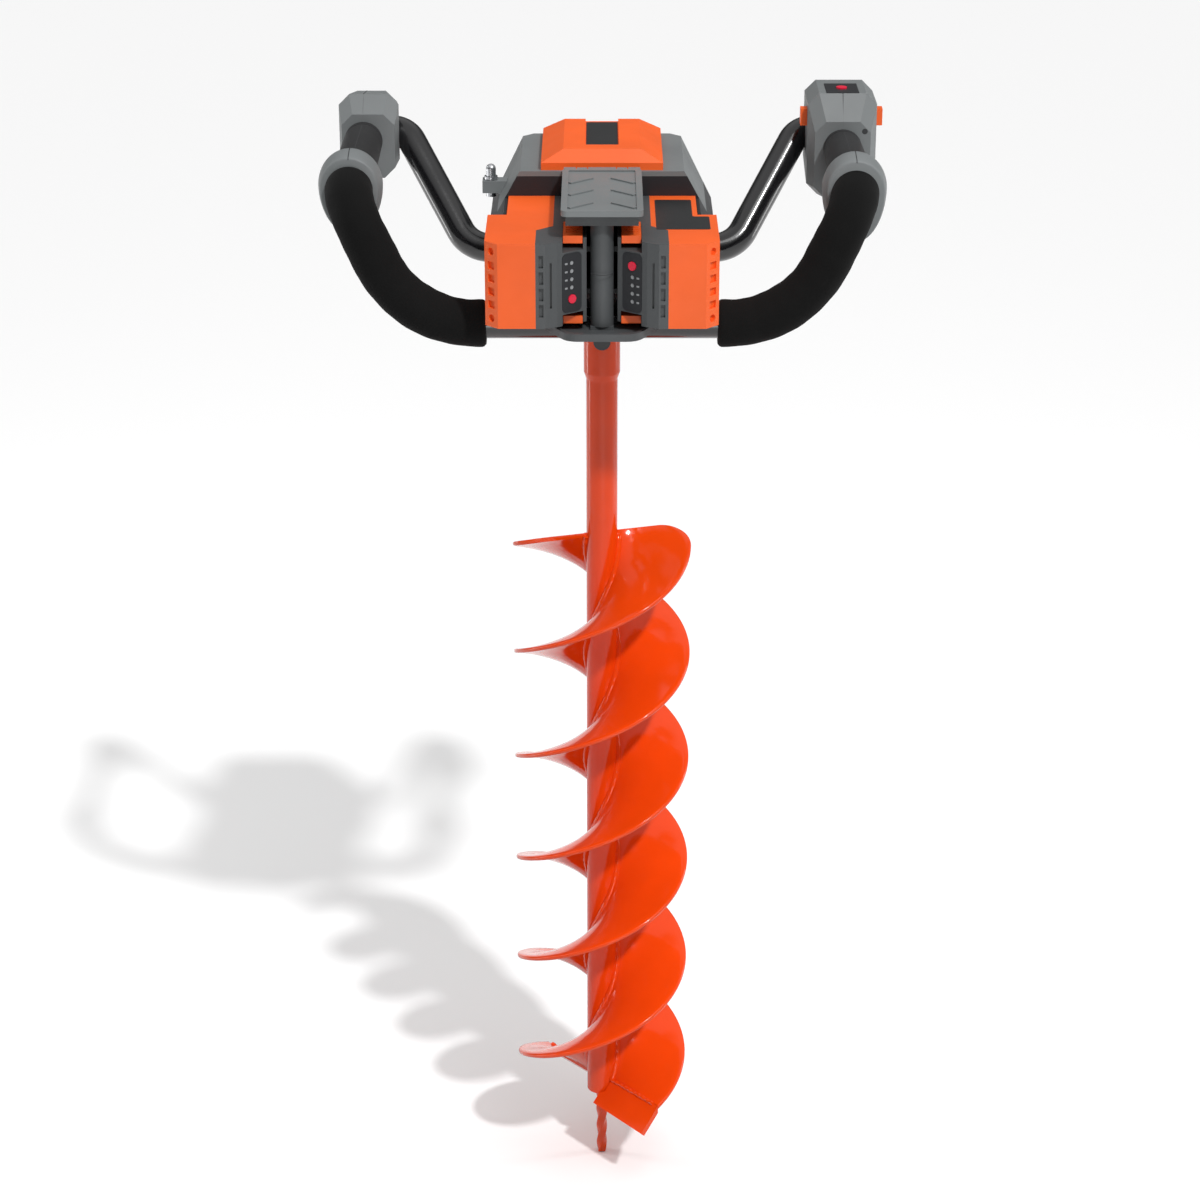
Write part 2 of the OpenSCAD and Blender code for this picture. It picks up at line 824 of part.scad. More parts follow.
// Wall between the packs, with a box head that the lid closes over
module battery_dock() {
    half = spine_w / 2;
    head_half = lid_w / 2 - 3.5;
    head_h = 9;
    color(dark_grey) in_head() {
        difference() {
            union() {
                block([-half, spine_front + half, spine_low], [half, lid_back - 1, spine_top]);
                block([-half, spine_front + half, tray_low + tray_h], [half, tray_back, spine_low + 1]);
                block([-half, lid_back - 2, spine_low], [half, house_front, under_hinge]);
                translate([0, spine_front + half, tray_low + tray_h])
                    cylinder(r = half, h = spine_top - tray_low - tray_h);
                block([-head_half, lid_front + 9, spine_top - head_h],
                    [head_half, lid_back - 1, spine_top]);
                block([-head_half, lid_back - 2, spine_top - head_h],
                    [head_half, house_front, under_hinge]);
            }
            for (s = [-1, 1]) translate([s * half, spine_front + half + 7, 0])
                cylinder(r = 2.5, h = spine_top + 1);
        }
        for (s = [-1, 1]) for (z = [-1, 1])
            block([s > 0 ? half : -half - rail_out, pack_front + 45,
                pack_mid + z * rail_rise - rail_h / 2],
                [s > 0 ? half + rail_out : -half, house_front, pack_mid + z * rail_rise + rail_h / 2]);
    }
}

// Plan of the bumper loop under the packs, shrunk by a wall
module tray_outline(inset) {
    front = 27 - inset * 0.6;
    side = 47 - inset;
    y0 = pack_front + inset;
    y1 = tray_back - inset;
    taper = 0.8 * (y1 - y0);
    nose = 14 - inset;
    bend = 4 - inset / 2;
    polygon(soft([[-front, y0], [front, y0], [side, y0 + taper], [side, y1], [-side, y1],
        [-side, y0 + taper]],
        [nose, nose, bend, bend, bend, bend]));
}

module dock_tray() {
    color(mid_grey) in_head() translate([0, 0, tray_low]) difference() {
        union() {
            difference() {
                linear_extrude(tray_h) tray_outline(0);
                translate([0, 0, 3]) linear_extrude(tray_h) tray_outline(4);
            }
            block([-spine_w / 2, spine_front + 2, 1], [spine_w / 2, tray_back - 1, tray_h]);
        }
    }
}

module controller_board() {
    board_y = house_front + house_wall + 4;
    board_t = 1.6;
    face = board_y + board_t;
    half = opening_half - 4;
    top = ledge - 16;
    color([0.10, 0.30, 0.16]) in_head() {
        block([-half, board_y, stator_low], [half, face, top]);
        for (s = [-1, 1]) for (z = [stator_low + 6, top - 6])
            translate([s * 0.8 * half, house_front + house_wall, z]) rotate([-90, 0, 0])
                cylinder(d = 6, h = 4);
        for (n = [-2 : 2]) translate([n * 0.32 * half, face, stator_low + 16]) rotate([-90, 0, 0])
            cylinder(d = 10, h = 14);
        for (n = [-3 : 3])
            block([n * 0.3 * half - 1, face, top - 20], [n * 0.3 * half + 1, face + 12.4, top - 2]);
    }
}

// Clip and spare pin on the left side

module pin_clip() {
    wall = 2.5;
    hold = pin_d / 2 + gap;
    clip_h = 10;
    difference() {
        block([pin_x - hold - wall, pin_y - hold - wall, pin_low],
            [14 - house_half, pin_y + hold + wall, pin_low + clip_h]);
        translate([pin_x, pin_y, pin_low - 1]) cylinder(r = hold, h = clip_h + 2);
    }
}

module spare_pin() {
    color(steel) in_head() translate([pin_x, pin_y, pin_low - 4]) {
        cylinder(d = pin_d, h = pin_len + 3);
        translate([0, 0, pin_len + 3]) sphere(d = pin_d);
        translate([0, 0, 14.4]) cylinder(d = pin_d + 3, h = 2.5);
    }
}

// Lid

module lid_knuckles(r) {
    for (x = [[-lid_w / 2 + 1, -21], [-11, 11], [21, lid_w / 2 - 1]])
        translate([x[0], hinge_y, hinge_h]) rotate([0, 90, 0]) cylinder(r = r, h = x[1] - x[0]);
}

rib_t = 1.2;

// Raised bar of the chevron on the lid, from one point to another
module lid_rib(a, b) {
    d = b - a;
    translate([a.x, a.y, lid_top - rib_t - 0.1]) rotate(atan2(d.y, d.x)) translate([0, -2, 0])
        cube([norm(d), 4, rib_t + 0.1]);
}

// Plan of the lid, shrunk all round
module lid_plan(inset) {
    half = lid_w / 2 - inset;
    polygon(soft([[-half, lid_front + inset], [half, lid_front + inset], [half, lid_back - inset],
        [-half, lid_back - inset]], max(1, 5 - inset)));
}

module battery_lid() {
    half = lid_w / 2;
    lip = 3;
    skin = 2.2;
    border = 5;
    color(mid_grey) in_head() difference() {
        union() {
            translate([0, 0, lid_top - lid_t]) difference() {
                linear_extrude(lid_t - rib_t) lid_plan(0);
                translate([0, 0, -1]) linear_extrude(lid_t - rib_t - skin + 1) lid_plan(lip);
            }
            translate([0, 0, lid_top - rib_t - 0.1]) linear_extrude(rib_t + 0.1) difference() {
                lid_plan(0);
                lid_plan(border);
            }
            for (s = [-1, 1]) for (y = [28, 66, 102])
                lid_rib([s * (half - border - 1), lid_front + y - 16], [s * 8, lid_front + y]);
            for (x = [[-half + 1, -21], [-11, 11], [21, half - 1]])
                block([x[0], lid_back - 1, lid_top - lid_t], [x[1], hinge_y, lid_top]);
            lid_knuckles(hinge_r);
        }
        translate([0, hinge_y, hinge_h]) rotate([0, 90, 0])
            cylinder(r = lid_pin_d / 2 + fit, h = lid_w + 2, center = true);
    }
}

module lid_pin() {
    color(steel) in_head() translate([0, hinge_y, hinge_h]) rotate([0, 90, 0])
        cylinder(d = lid_pin_d, h = lid_w - 2, center = true);
}

// Packs, drawn in the right-hand place

// Plan of a pack, shrunk by a wall
module pack_plan(wall) {
    polygon([[pack_in + wall, pack_back - wall], [pack_out - tail_in - wall, pack_back - wall],
        [pack_out - tail_in - wall, pack_back - tail_len - wall],
            [pack_out - wall, pack_back - tail_len - wall],
        [pack_out - wall, pack_front + chamfer + wall * 0.4],
            [pack_out - chamfer - wall * 0.4, pack_front + wall],
        [gauge_x + 9, pack_front + wall], [gauge_x + wall * 0.3, pack_front + gauge_lead + wall],
        [pack_in + wall, pack_front + gauge_lead + gauge_fall + wall]]);
}

module pack_solid() {
    difference() {
        translate([0, 0, pack_low]) linear_extrude(pack_h) pack_plan(0);
        cell_room();
    }
}

// Room for the cells, and the hollow of the outer wing beside it
module cell_room() {
    low = pack_low + pack_wall;
    high = pack_top - pack_wall;
    side = pack_out - tail_in - pack_wall;
    block([cell_x[0] - cell_d / 2 - 0.5, cell_front - 0.5, low], [side, pack_back - pack_wall, high]);
    block([side - 1, pack_front + chamfer + pack_wall, low],
        [pack_out - pack_wall, pack_back - tail_len - pack_wall, high]);
}

// The orange share of a pack's plan
module orange_plan() {
    step_y = pack_front + 40;
    far = pack_out + 5;
    polygon([[split_front, pack_front - 5], [far, pack_front - 5], [far, pack_back + 5],
        [split_back, pack_back + 5],
        [split_back, step_y + 12], [split_front, step_y]]);
}

module orange_region() {
    translate([0, 0, pack_low - 5]) linear_extrude(pack_h + 10) orange_plan();
}

// Vents and screw recesses down the outer chamfer
module case_vents() {
    slope = 45;
    for (z = [-13.5, -4.5, 4.5, 13.5])
        translate([pack_out - chamfer / 2, pack_front + chamfer / 2, pack_mid + z * 1.15]) rotate(slope)
            cube([7, 4, 6], center = true);
    for (z = [-1, 1])
        translate([pack_out - chamfer / 2, pack_front + chamfer / 2, pack_mid + z * (pack_h / 2 - 7)])
            rotate([90, 0, slope])
            cylinder(d = 6, h = 5, center = true);
}

module pack_case() {
    color(orange) difference() {
        intersection() {
            pack_solid();
            orange_region();
        }
        case_vents();
    }
}

module rail_slots() {
    for (z = [-1, 1])
        block([pack_in - 1, pack_front + 40, pack_mid + z * rail_rise - rail_h / 2 - gap],
            [spine_w / 2 + rail_out + gap, pack_back + 1, pack_mid + z * rail_rise + rail_h / 2 + gap]);
}

module shell_slots() {
    for (n = [-1.5 : 1.5])
        block([gauge_x + 10.5, pack_front - 1, pack_mid + n * 13 - 5], [gauge_x + 14, pack_front + 2.5,
            pack_mid + n * 13 + 5]);
    block([gauge_x + 4, pack_front - 1, pack_mid - 18], [gauge_x + 5.6, pack_front + 5, pack_mid + 18]);
}

// Slots for the contact blades, from the rear face
module shell_contact_slots() {
    for (n = [-1 : 1])
        block([contact_x - 1.5, pack_back - contact_reach - 3,
            pack_mid + n * contact_gap - contact_h / 2 - 1],
            [contact_x + 1.5, pack_back + 1, pack_mid + n * contact_gap + contact_h / 2 + 1]);
}

// Pockets that the two latch buttons sink into
module latch_pockets() {
    depth = latch_t - latch_proud + latch_travel + gap;
    for (z = [0, 1]) translate([0, 0, pack_mid]) mirror([0, 0, z]) translate([0, 0, -pack_mid])
        block([latch_in - gap, latch_y - 20, pack_top - depth],
            [latch_in + latch_w + gap, latch_y + latch_len + gap, pack_top + 5]);
}

module gauge_place() {
    translate([(gauge_x + pack_in) / 2, pack_front + gauge_lead + gauge_fall / 2, pack_mid])
        rotate(-gauge_turn) children();
}

gauge_w = 18;
gauge_h = 47;
gauge_t = 1.6;
gauge_corner = 4;
gauge_button_d = 7;
gauge_button_rise = 13;
gauge_button_proud = 1;

// Rounded slab of the gauge, from a depth behind the angled face to a height in front of it
module gauge_slab(grow, deep, proud) {
    w = gauge_w / 2 + grow;
    h = gauge_h / 2 + grow;
    translate([0, deep, 0]) rotate([90, 0, 0]) linear_extrude(deep + proud)
        polygon(soft([[-w, -h], [w, -h], [w, h], [-w, h]], gauge_corner));
}

// Round hole across the gauge, at a height from its middle
module gauge_hole(d, rise, deep) {
    translate([0, -1, rise]) rotate([-90, 0, 0]) cylinder(d = d, h = deep + 1);
}

module pack_shell() {
    color(mid_grey) difference() {
        pack_solid();
        orange_region();
        rail_slots();
        shell_slots();
        shell_contact_slots();
        latch_pockets();
        gauge_place() gauge_slab(0.1, gauge_t, 1);
        gauge_place() gauge_hole(gauge_button_d + 1, gauge_button_rise, 6);
    }
}

module pack_gauge() {
    lamp_d = 3.4;
    color(dark_grey) gauge_place() difference() {
        gauge_slab(0, gauge_t, 0.3);
        gauge_hole(gauge_button_d + 0.6, gauge_button_rise, 6);
        for (n = [0 : 3]) gauge_hole(lamp_d, 4 - n * 6.5, 0.2);
    }
}

module pack_button() {
    color([0.85, 0.12, 0.20]) gauge_place()
        translate([0, -gauge_button_proud, gauge_button_rise]) rotate([-90, 0, 0])
            cylinder(d = gauge_button_d, h = gauge_button_proud + gauge_t + 2);
}

// Ribbed latch button, drawn at the top of a pack
module latch() {
    ribs = 4;
    color(orange) difference() {
        block([latch_in, latch_y, pack_top + latch_proud - latch_t],
            [latch_in + latch_w, latch_y + latch_len, pack_top + latch_proud]);
        for (n = [1 : ribs])
            block([latch_in + 2, latch_y + 4 + n * 6, pack_top + latch_proud - 0.8],
                [latch_in + latch_w - 2, latch_y + 6 + n * 6, pack_top + 5]);
        translate([latch_in, latch_y, pack_top]) rotate(-gauge_turn) block([-10, -12, -20],
            [30, -0.01, 20]);
    }
}

module lower_latch() {
    translate([0, 0, pack_mid]) mirror([0, 0, 1]) translate([0, 0, -pack_mid]) latch();
}

// Cells lie along the pack, in two rows end to end
module pack_cells() {
    room = cell_d + 0.4;
    color([0.25, 0.45, 0.65]) for (z = [-1 : 1]) for (x = cell_x) for (n = [0, 1])
        translate([x, cell_front + n * (cell_len + 0.4), pack_mid + z * room]) rotate([-90, 0, 0])
            cylinder(d = cell_d, h = cell_len);
}

module left_pack_case() { in_head() left_pack() pack_case(); }
module left_pack_shell() { in_head() left_pack() pack_shell(); }
module left_pack_gauge() { in_head() left_pack() pack_gauge(); }
module left_pack_button() { in_head() left_pack() pack_button(); }
module left_upper_latch() { in_head() left_pack() lower_latch(); }
module left_lower_latch() { in_head() left_pack() latch(); }
module left_pack_cells() { in_head() left_pack() pack_cells(); }
module right_pack_case() { in_head() pack_case(); }
module right_pack_shell() { in_head() pack_shell(); }
module right_pack_gauge() { in_head() pack_gauge(); }
module right_pack_button() { in_head() pack_button(); }
module right_upper_latch() { in_head() latch(); }
module right_lower_latch() { in_head() lower_latch(); }
module right_pack_cells() { in_head() pack_cells(); }

// Frame

module handle_tube(path) {
    color(black) in_head() bent_pipe(path, handle_radii, tube_r, tube_r - tube_wall);
}

module right_handle_tube() { handle_tube(handle_path); }
module left_handle_tube() { handle_tube(on_left(handle_path)); }

saddle_half = 27;
saddle_front = cross_y;
saddle_top = cross_h + tube_r - 3;
// Seat of the bolt heads, sunk behind the tube
saddle_seat = cross_y + tube_r + 5;

// Block between the gear case and the cross tube
module tube_saddle() {
    color(dark_grey) in_head() difference() {
        block([-saddle_half, saddle_front, cross_h - tube_r - 3], [saddle_half, pad_y, saddle_top]);
        translate([0, cross_y, cross_h]) rotate([0, 90, 0])
            cylinder(r = tube_r + fit, h = 3 * saddle_half, center = true);
        block([-saddle_half - 1, cross_y - tube_r / 2, cross_h],
            [saddle_half + 1, cross_y + tube_r / 2, saddle_top + 1]);
        for (s = [-1, 1]) translate([s * saddle_bolt_x, saddle_seat, saddle_bolt_h])
            rotate([-90, 0, 0]) {
            cylinder(r = screw_d / 2 + fit, h = 200);
            translate([0, 0, -tube_r]) cylinder(r = screw_d * 0.85 + gap, h = tube_r);
        }
    }
}

// Sockets inside the housing that hold the rear ends of the frame
module rear_tube_clamps() {
    wall = 5;
    inner = side_end.x - wall;
    outer = house_half - house_wall;
    color(dark_grey) in_head() for (s = [-1, 1]) difference() {
        block([s > 0 ? inner : -outer, side_y - tube_r - wall, house_low + house_wall],
            [s > 0 ? outer : -inner, side_y + tube_r + wall, side_h + tube_r + wall]);
        translate([s * side_end.x, side_y, side_h]) rotate([0, s * 90, 0])
            cylinder(r = tube_r + fit, h = 60);
    }
}

// Path of the soft sleeves, from a collar down to the cross tube
foam_path = [[grip_x, foam_back, grip_h], front_bend, low_bend, [foam_end_x, cross_y, cross_h]];

module foam(path) {
    radii = [front_radius, low_radius];
    color(black) in_head() bent_pipe(path, radii, foam_d / 2, tube_r + 0.3);
}

module right_foam() { foam(foam_path); }
module left_foam() { foam(on_left(foam_path)); }

// Rubber sleeve on the straight stretch, with shallow rings
module grip(x, back, front) {
    color(black) in_head() translate([x, back, grip_h]) rotate([90, 0, 0]) difference() {
        cylinder(d = grip_d, h = back - front);
        translate([0, 0, -1]) cylinder(r = tube_r + 0.1, h = back - front + 2);
    }
}

module left_grip() { grip(-grip_x, left_house_front - gap, left_collar_back + gap); }
module right_grip() { grip(grip_x, right_house_front - gap, right_collar_back + gap); }

// Flared guard in front of a grip, taller below where drop is larger
module collar(x, back, drop) {
    wide = 25.5;
    narrow = 23;
    lip = 9;
    lean = unit(low_bend - front_bend) * 3.5;
    color(mid_grey) in_head() difference() {
        hull() {
            for (z = [3, -drop]) {
                translate([x, back, grip_h + z]) rotate([90, 0, 0])
                    cylinder(r = wide - 2, h = 1, $fn = 40);
                translate([x, back - 3, grip_h + z]) rotate([90, 0, 0])
                    cylinder(r = wide, h = lip, $fn = 40);
                translate([x, back - collar_len + 1, grip_h + z]) rotate([90, 0, 0])
                    cylinder(r = narrow, h = 1, $fn = 40);
            }
        }
        translate([x, back + 1, grip_h]) rotate([90, 0, 0])
            cylinder(r = tube_r + 0.1, h = 2 * collar_len);
        for (n = [0, 1]) translate([x + n * sign(x) * lean.x, foam_back + 0.4, grip_h + n * lean.z])
            rotate([90, 0, 0])
            cylinder(r = foam_d / 2 + 0.5, h = collar_len);
    }
}

module left_collar() { collar(-grip_x, left_collar_back, 14); }
module right_collar() { collar(grip_x, right_collar_back, 19); }

// Eight-sided slice of a handle housing, square to the grip
module slice(x, y, w, low, high) {
    c = 9;
    a = w / 2;
    translate([x, y + 0.5, 0]) rotate([90, 0, 0]) linear_extrude(1)
        polygon([[-a, low + c], [c - a, low], [a - c, low], [a, low + c], [a, high - c], [a - c, high],
            [c - a, high], [-a, high - c]]);
}

// Left-hand housing that closes the bend of the tube
module left_house_form(wall) {
    x = 4 - grip_x;
    y = left_house_front;
    hull() {
        slice(x, y + 0.5 + wall, grip_d + 11 - 2 * wall, grip_h - 32 + wall, grip_h + 22 - wall);
        slice(x, y + 14, grip_d + 17 - 2 * wall, grip_h - 28 + wall, grip_h + 36 - wall);
        slice(x, y + left_house_len - wall, grip_d + 9 - 2 * wall,
            grip_h - 18 + wall, grip_h + 30 - wall);
    }
}

// Right-hand housing that holds the switch
module right_house_form(wall) {
    x = grip_x;
    y = right_house_front;
    w = 2 * switch_house_half;
    hull() {
        slice(x, y + 0.5 + wall, grip_d + 13 - 2 * wall, grip_h - 42 + wall, grip_h + 22 - wall);
        slice(x, y + 13, w - 2 * wall, grip_h - 42 + wall, panel_top - wall);
        slice(x, y + right_house_len - 12, w - 2 * wall, grip_h - 30 + wall, panel_top - wall);
        slice(x, y + right_house_len - wall, grip_d + 9 - 2 * wall,
            grip_h - 18 + wall, panel_top - 8 - wall);
    }
}

// Cuts a housing into two half shells along the grip's middle plane
module split_shell(x) {
    far = 2 * grip_x;
    for (s = [-1, 1]) difference() {
        children();
        block([s > 0 ? x - far : x - seam, -far, -far], [s > 0 ? x + seam : x + far, 2 * far, 2 * far]);
    }
}

module left_end_housing() {
    color(mid_grey) in_head() split_shell(-grip_x) difference() {
        left_house_form(0);
        left_house_form(house_skin);
        bent_pipe(on_left(handle_path), handle_radii, tube_r + 0.2, 0);
    }
}

module right_switch_housing() {
    y_far = right_house_front + right_house_len - 18;
    color(mid_grey) in_head() split_shell(grip_x) difference() {
        union() {
            difference() {
                right_house_form(0);
                right_house_form(house_skin);
            }
            intersection() {
                right_house_form(0.5);
                block([grip_x - 40, trigger_y + 8, grip_h - 52], [grip_x + 40, y_far, switch_low]);
            }
            intersection() {
                right_house_form(0.5);
                block([grip_x - 40, trigger_y - 7, trigger_h - 7],
                    [grip_x + 40, trigger_y + 7, trigger_h + 7]);
            }
        }
        bent_pipe(handle_path, handle_radii, tube_r + 0.2, 0);
        trigger_room();
        selector_room();
        block([grip_x - panel_w / 2 - 0.1, panel_y - panel_len / 2 - 0.1, panel_top - panel_t],
            [grip_x + panel_w / 2 + 0.1, panel_y + panel_len / 2 + 0.1, panel_top + 1]);
        translate([grip_x, panel_y, panel_top - 10]) cylinder(d = button_d + 2, h = 11);
    }
}

panel_t = 1.5;
switch_low = grip_h - 24;
switch_len = 16;

module control_panel() {
    color(black) in_head() difference() {
        block([grip_x - panel_w / 2, panel_y - panel_len / 2, panel_top - panel_t],
            [grip_x + panel_w / 2, panel_y + panel_len / 2, panel_top + 0.4]);
        translate([grip_x, panel_y, panel_top - 10]) cylinder(d = button_d + 0.6, h = 11);
    }
}

module power_button() {
    color([0.85, 0.12, 0.20]) in_head() {
        translate([grip_x, panel_y, panel_top + button_proud - 5]) cylinder(d = button_d, h = 5);
    }
}

// Space that the trigger swings in
module trigger_room() {
    block([grip_x - trigger_w / 2 - gap, 0, trigger_h - trigger_t - 4],
        [grip_x + trigger_w / 2 + gap, trigger_y + 8.5, grip_h - tube_r - 1]);
    translate([grip_x, trigger_y, trigger_h]) rotate([0, 90, 0])
        cylinder(r = trigger_pin_d / 2 + fit, h = 40, center = true);
}

module trigger() {
    color(black) in_head() {
        translate([grip_x, trigger_y, trigger_h]) rotate([0, 90, 0]) {
            cylinder(d = trigger_pin_d, h = 32, center = true);
            cylinder(d = trigger_t + 2, h = trigger_w, center = true);
        }
        block([grip_x - trigger_w / 2, trigger_y - trigger_reach, trigger_h - trigger_t / 2],
            [grip_x + trigger_w / 2, trigger_y, trigger_h + trigger_t / 2]);
    }
}

module trigger_switch() {
    y = trigger_y + 10;
    color(black) in_head()
        block([grip_x - 9, y, switch_low], [grip_x + 9, y + switch_len, grip_h - tube_r - 1.2]);
}

module selector_form(grow, pad_grow) {
    for (s = [-1, 1]) translate([s * (selector_half - 4), 0, 0])
        cube([8 + pad_grow, selector_w + 2 * grow, selector_pad + 2 * grow], center = true);
    cube([2 * selector_half - 1, selector_w - 2 + 2 * grow, selector_t + 2 * grow], center = true);
}

module selector_room() {
    translate([grip_x, selector_y, selector_h]) selector_form(0.3, 60);
}

module selector_bar() {
    color(orange) in_head() translate([grip_x, selector_y, selector_h]) selector_form(0, 0);
}

lower_housing();
upper_housing();
top_cover();
battery_dock();
dock_tray();
dock_contacts();
gear_case();
gear_case_cover();
output_bearing();
shaft_seal();
motor_stator();
motor_end_plate();
motor_bearings();
controller_board();
left_handle_tube();
right_handle_tube();
tube_saddle();
rear_tube_clamps();
left_foam();
right_foam();
left_grip();
right_grip();
left_collar();
right_collar();
left_end_housing();
right_switch_housing();
control_panel();
trigger_switch();
case_screws();
lid_pin();
battery_lid();
power_button();
trigger();
selector_bar();
spare_pin();
left_pack_case();
left_pack_shell();
left_pack_gauge();
left_pack_button();
left_upper_latch();
left_lower_latch();
left_pack_cells();
right_pack_case();
right_pack_shell();
right_pack_gauge();
right_pack_button();
right_upper_latch();
right_lower_latch();
right_pack_cells();
bit_shaft();
flight_a();
flight_b();
cutting_blades();
pilot_point();
cross_bolt();
output_shaft();
output_gear();
layshaft();
motor_rotor();
cooling_fan();
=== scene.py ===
# %% [markdown]
# # A battery earth auger
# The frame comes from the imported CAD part: every node is already in its place, in metres, with the
# pilot tip at the origin. These cells give each piece its finish, swap the plain sleeves, flights and
# tubes for smoother ones, add the small mouldings, and set up a pale studio round it.

# %% Load the frame
import json
import math

import bpy
from mathutils import Matrix, Vector

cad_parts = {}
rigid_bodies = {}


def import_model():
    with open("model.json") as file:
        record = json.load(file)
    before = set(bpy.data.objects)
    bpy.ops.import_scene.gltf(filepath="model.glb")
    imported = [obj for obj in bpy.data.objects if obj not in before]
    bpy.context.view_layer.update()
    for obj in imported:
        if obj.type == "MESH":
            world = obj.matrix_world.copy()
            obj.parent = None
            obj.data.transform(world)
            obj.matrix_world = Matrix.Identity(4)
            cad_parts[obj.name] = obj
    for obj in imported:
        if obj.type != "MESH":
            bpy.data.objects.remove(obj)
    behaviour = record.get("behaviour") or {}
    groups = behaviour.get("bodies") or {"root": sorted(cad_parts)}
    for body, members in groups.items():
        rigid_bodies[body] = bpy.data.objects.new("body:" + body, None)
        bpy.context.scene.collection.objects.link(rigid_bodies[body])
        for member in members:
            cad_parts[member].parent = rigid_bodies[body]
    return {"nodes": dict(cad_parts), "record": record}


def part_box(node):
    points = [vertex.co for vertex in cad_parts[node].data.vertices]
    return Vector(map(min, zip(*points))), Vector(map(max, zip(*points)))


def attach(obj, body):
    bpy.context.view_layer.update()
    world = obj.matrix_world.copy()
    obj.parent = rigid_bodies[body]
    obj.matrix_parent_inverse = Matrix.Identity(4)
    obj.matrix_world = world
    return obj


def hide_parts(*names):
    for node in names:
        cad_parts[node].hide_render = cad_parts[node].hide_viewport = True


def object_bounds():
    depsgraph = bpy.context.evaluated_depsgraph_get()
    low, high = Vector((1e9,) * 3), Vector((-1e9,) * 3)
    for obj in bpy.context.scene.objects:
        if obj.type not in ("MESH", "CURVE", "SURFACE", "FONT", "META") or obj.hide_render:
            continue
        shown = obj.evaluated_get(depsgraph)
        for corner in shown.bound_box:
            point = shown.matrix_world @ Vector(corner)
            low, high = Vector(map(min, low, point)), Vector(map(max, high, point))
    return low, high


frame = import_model()
cad_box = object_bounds()
nodes = frame["nodes"]
scene = bpy.context.scene

# %% [markdown]
# ## One maker for every finish
# Moulded plastic, sprayed paint and machined metal never have one even tone. A painted picture could
# show that, but a procedural finish needs no image and has no seams. So one function makes them all: a
# slow noise shifts the tone a little, a middle one shifts the gloss, and a fine one is the grain that
# shows up close.

# %% Noise
def noise_of(tree, place, size_mm, detail):
    node = tree.nodes.new("ShaderNodeTexNoise")
    node.inputs["Scale"].default_value = 1000.0 / size_mm
    node.inputs["Detail"].default_value = detail
    tree.links.new(place.outputs["Object"], node.inputs["Vector"])
    return node

# Object coordinates are in metres, so a scale of 1 gives spots about a metre wide
print("a noise of 50 mm has a scale of", 1000.0 / 50)

# %% Tone, gloss and grain
TONE_MM, GLOSS_MM, GLOSS_SWING = 60, 14, 0.06

def vary_tone(tree, place, bsdf, colour, tone):
    shade = tree.nodes.new("ShaderNodeValToRGB")
    shade.color_ramp.elements[0].position = 0.3
    shade.color_ramp.elements[1].position = 0.7
    shade.color_ramp.elements[0].color = [c * (1 - tone) for c in colour] + [1]
    shade.color_ramp.elements[1].color = [min(1.0, c * (1 + tone)) for c in colour] + [1]
    tree.links.new(noise_of(tree, place, TONE_MM, 3).outputs["Fac"], shade.inputs["Fac"])
    tree.links.new(shade.outputs["Color"], bsdf.inputs["Base Color"])

def vary_gloss(tree, place, bsdf, rough):
    gloss = tree.nodes.new("ShaderNodeMapRange")
    gloss.inputs["To Min"].default_value = max(0.02, rough - GLOSS_SWING)
    gloss.inputs["To Max"].default_value = min(1.0, rough + GLOSS_SWING)
    tree.links.new(noise_of(tree, place, GLOSS_MM, 2).outputs["Fac"], gloss.inputs["Value"])
    tree.links.new(gloss.outputs["Result"], bsdf.inputs["Roughness"])

def add_grain(tree, place, bsdf, grain, grain_mm):
    bump = tree.nodes.new("ShaderNodeBump")
    bump.inputs["Strength"].default_value = grain
    bump.inputs["Distance"].default_value = grain_mm / 4000.0
    tree.links.new(noise_of(tree, place, grain_mm, 2).outputs["Fac"], bump.inputs["Height"])
    tree.links.new(bump.outputs["Normal"], bsdf.inputs["Normal"])

print("tone changes over", TONE_MM, "mm and gloss over", GLOSS_MM, "mm")

# %% Finish maker
COAT_ROUGH = 0.06

def finish_of(name, colour, rough, tone=0.06, grain=0.1, grain_mm=0.5,
              coat=0.0, metal=0.0, specular=0.5, sheen=0.0):
    mat = bpy.data.materials.new(name)
    mat.use_nodes = True
    tree = mat.node_tree
    bsdf = tree.nodes["Principled BSDF"]
    place = tree.nodes.new("ShaderNodeTexCoord")
    vary_tone(tree, place, bsdf, colour, tone)
    vary_gloss(tree, place, bsdf, rough)
    add_grain(tree, place, bsdf, grain, grain_mm)
    bsdf.inputs["Metallic"].default_value = metal
    bsdf.inputs["Specular IOR Level"].default_value = specular
    bsdf.inputs["Coat Weight"].default_value = coat
    bsdf.inputs["Coat Roughness"].default_value = COAT_ROUGH
    bsdf.inputs["Sheen Weight"].default_value = sheen
    return mat

print("a coat has a roughness of", COAT_ROUGH)

# %% [markdown]
# ## Plastics and soft pieces
# The housings are textured plastic in orange, two greys and charcoal; the darker grey is partly the
# plastic's own tone and partly painted shade on faces turned away from the light. The texture could be
# modelled, but a fine bump is enough at this distance. Rubber shines a little, and foam hardly at all, so
# they differ more in roughness than in colour.

# %% Plastics and soft pieces
def moulded(name, colour, specular):
    return finish_of(name, colour, 0.5, grain=0.4, grain_mm=0.7, specular=specular)

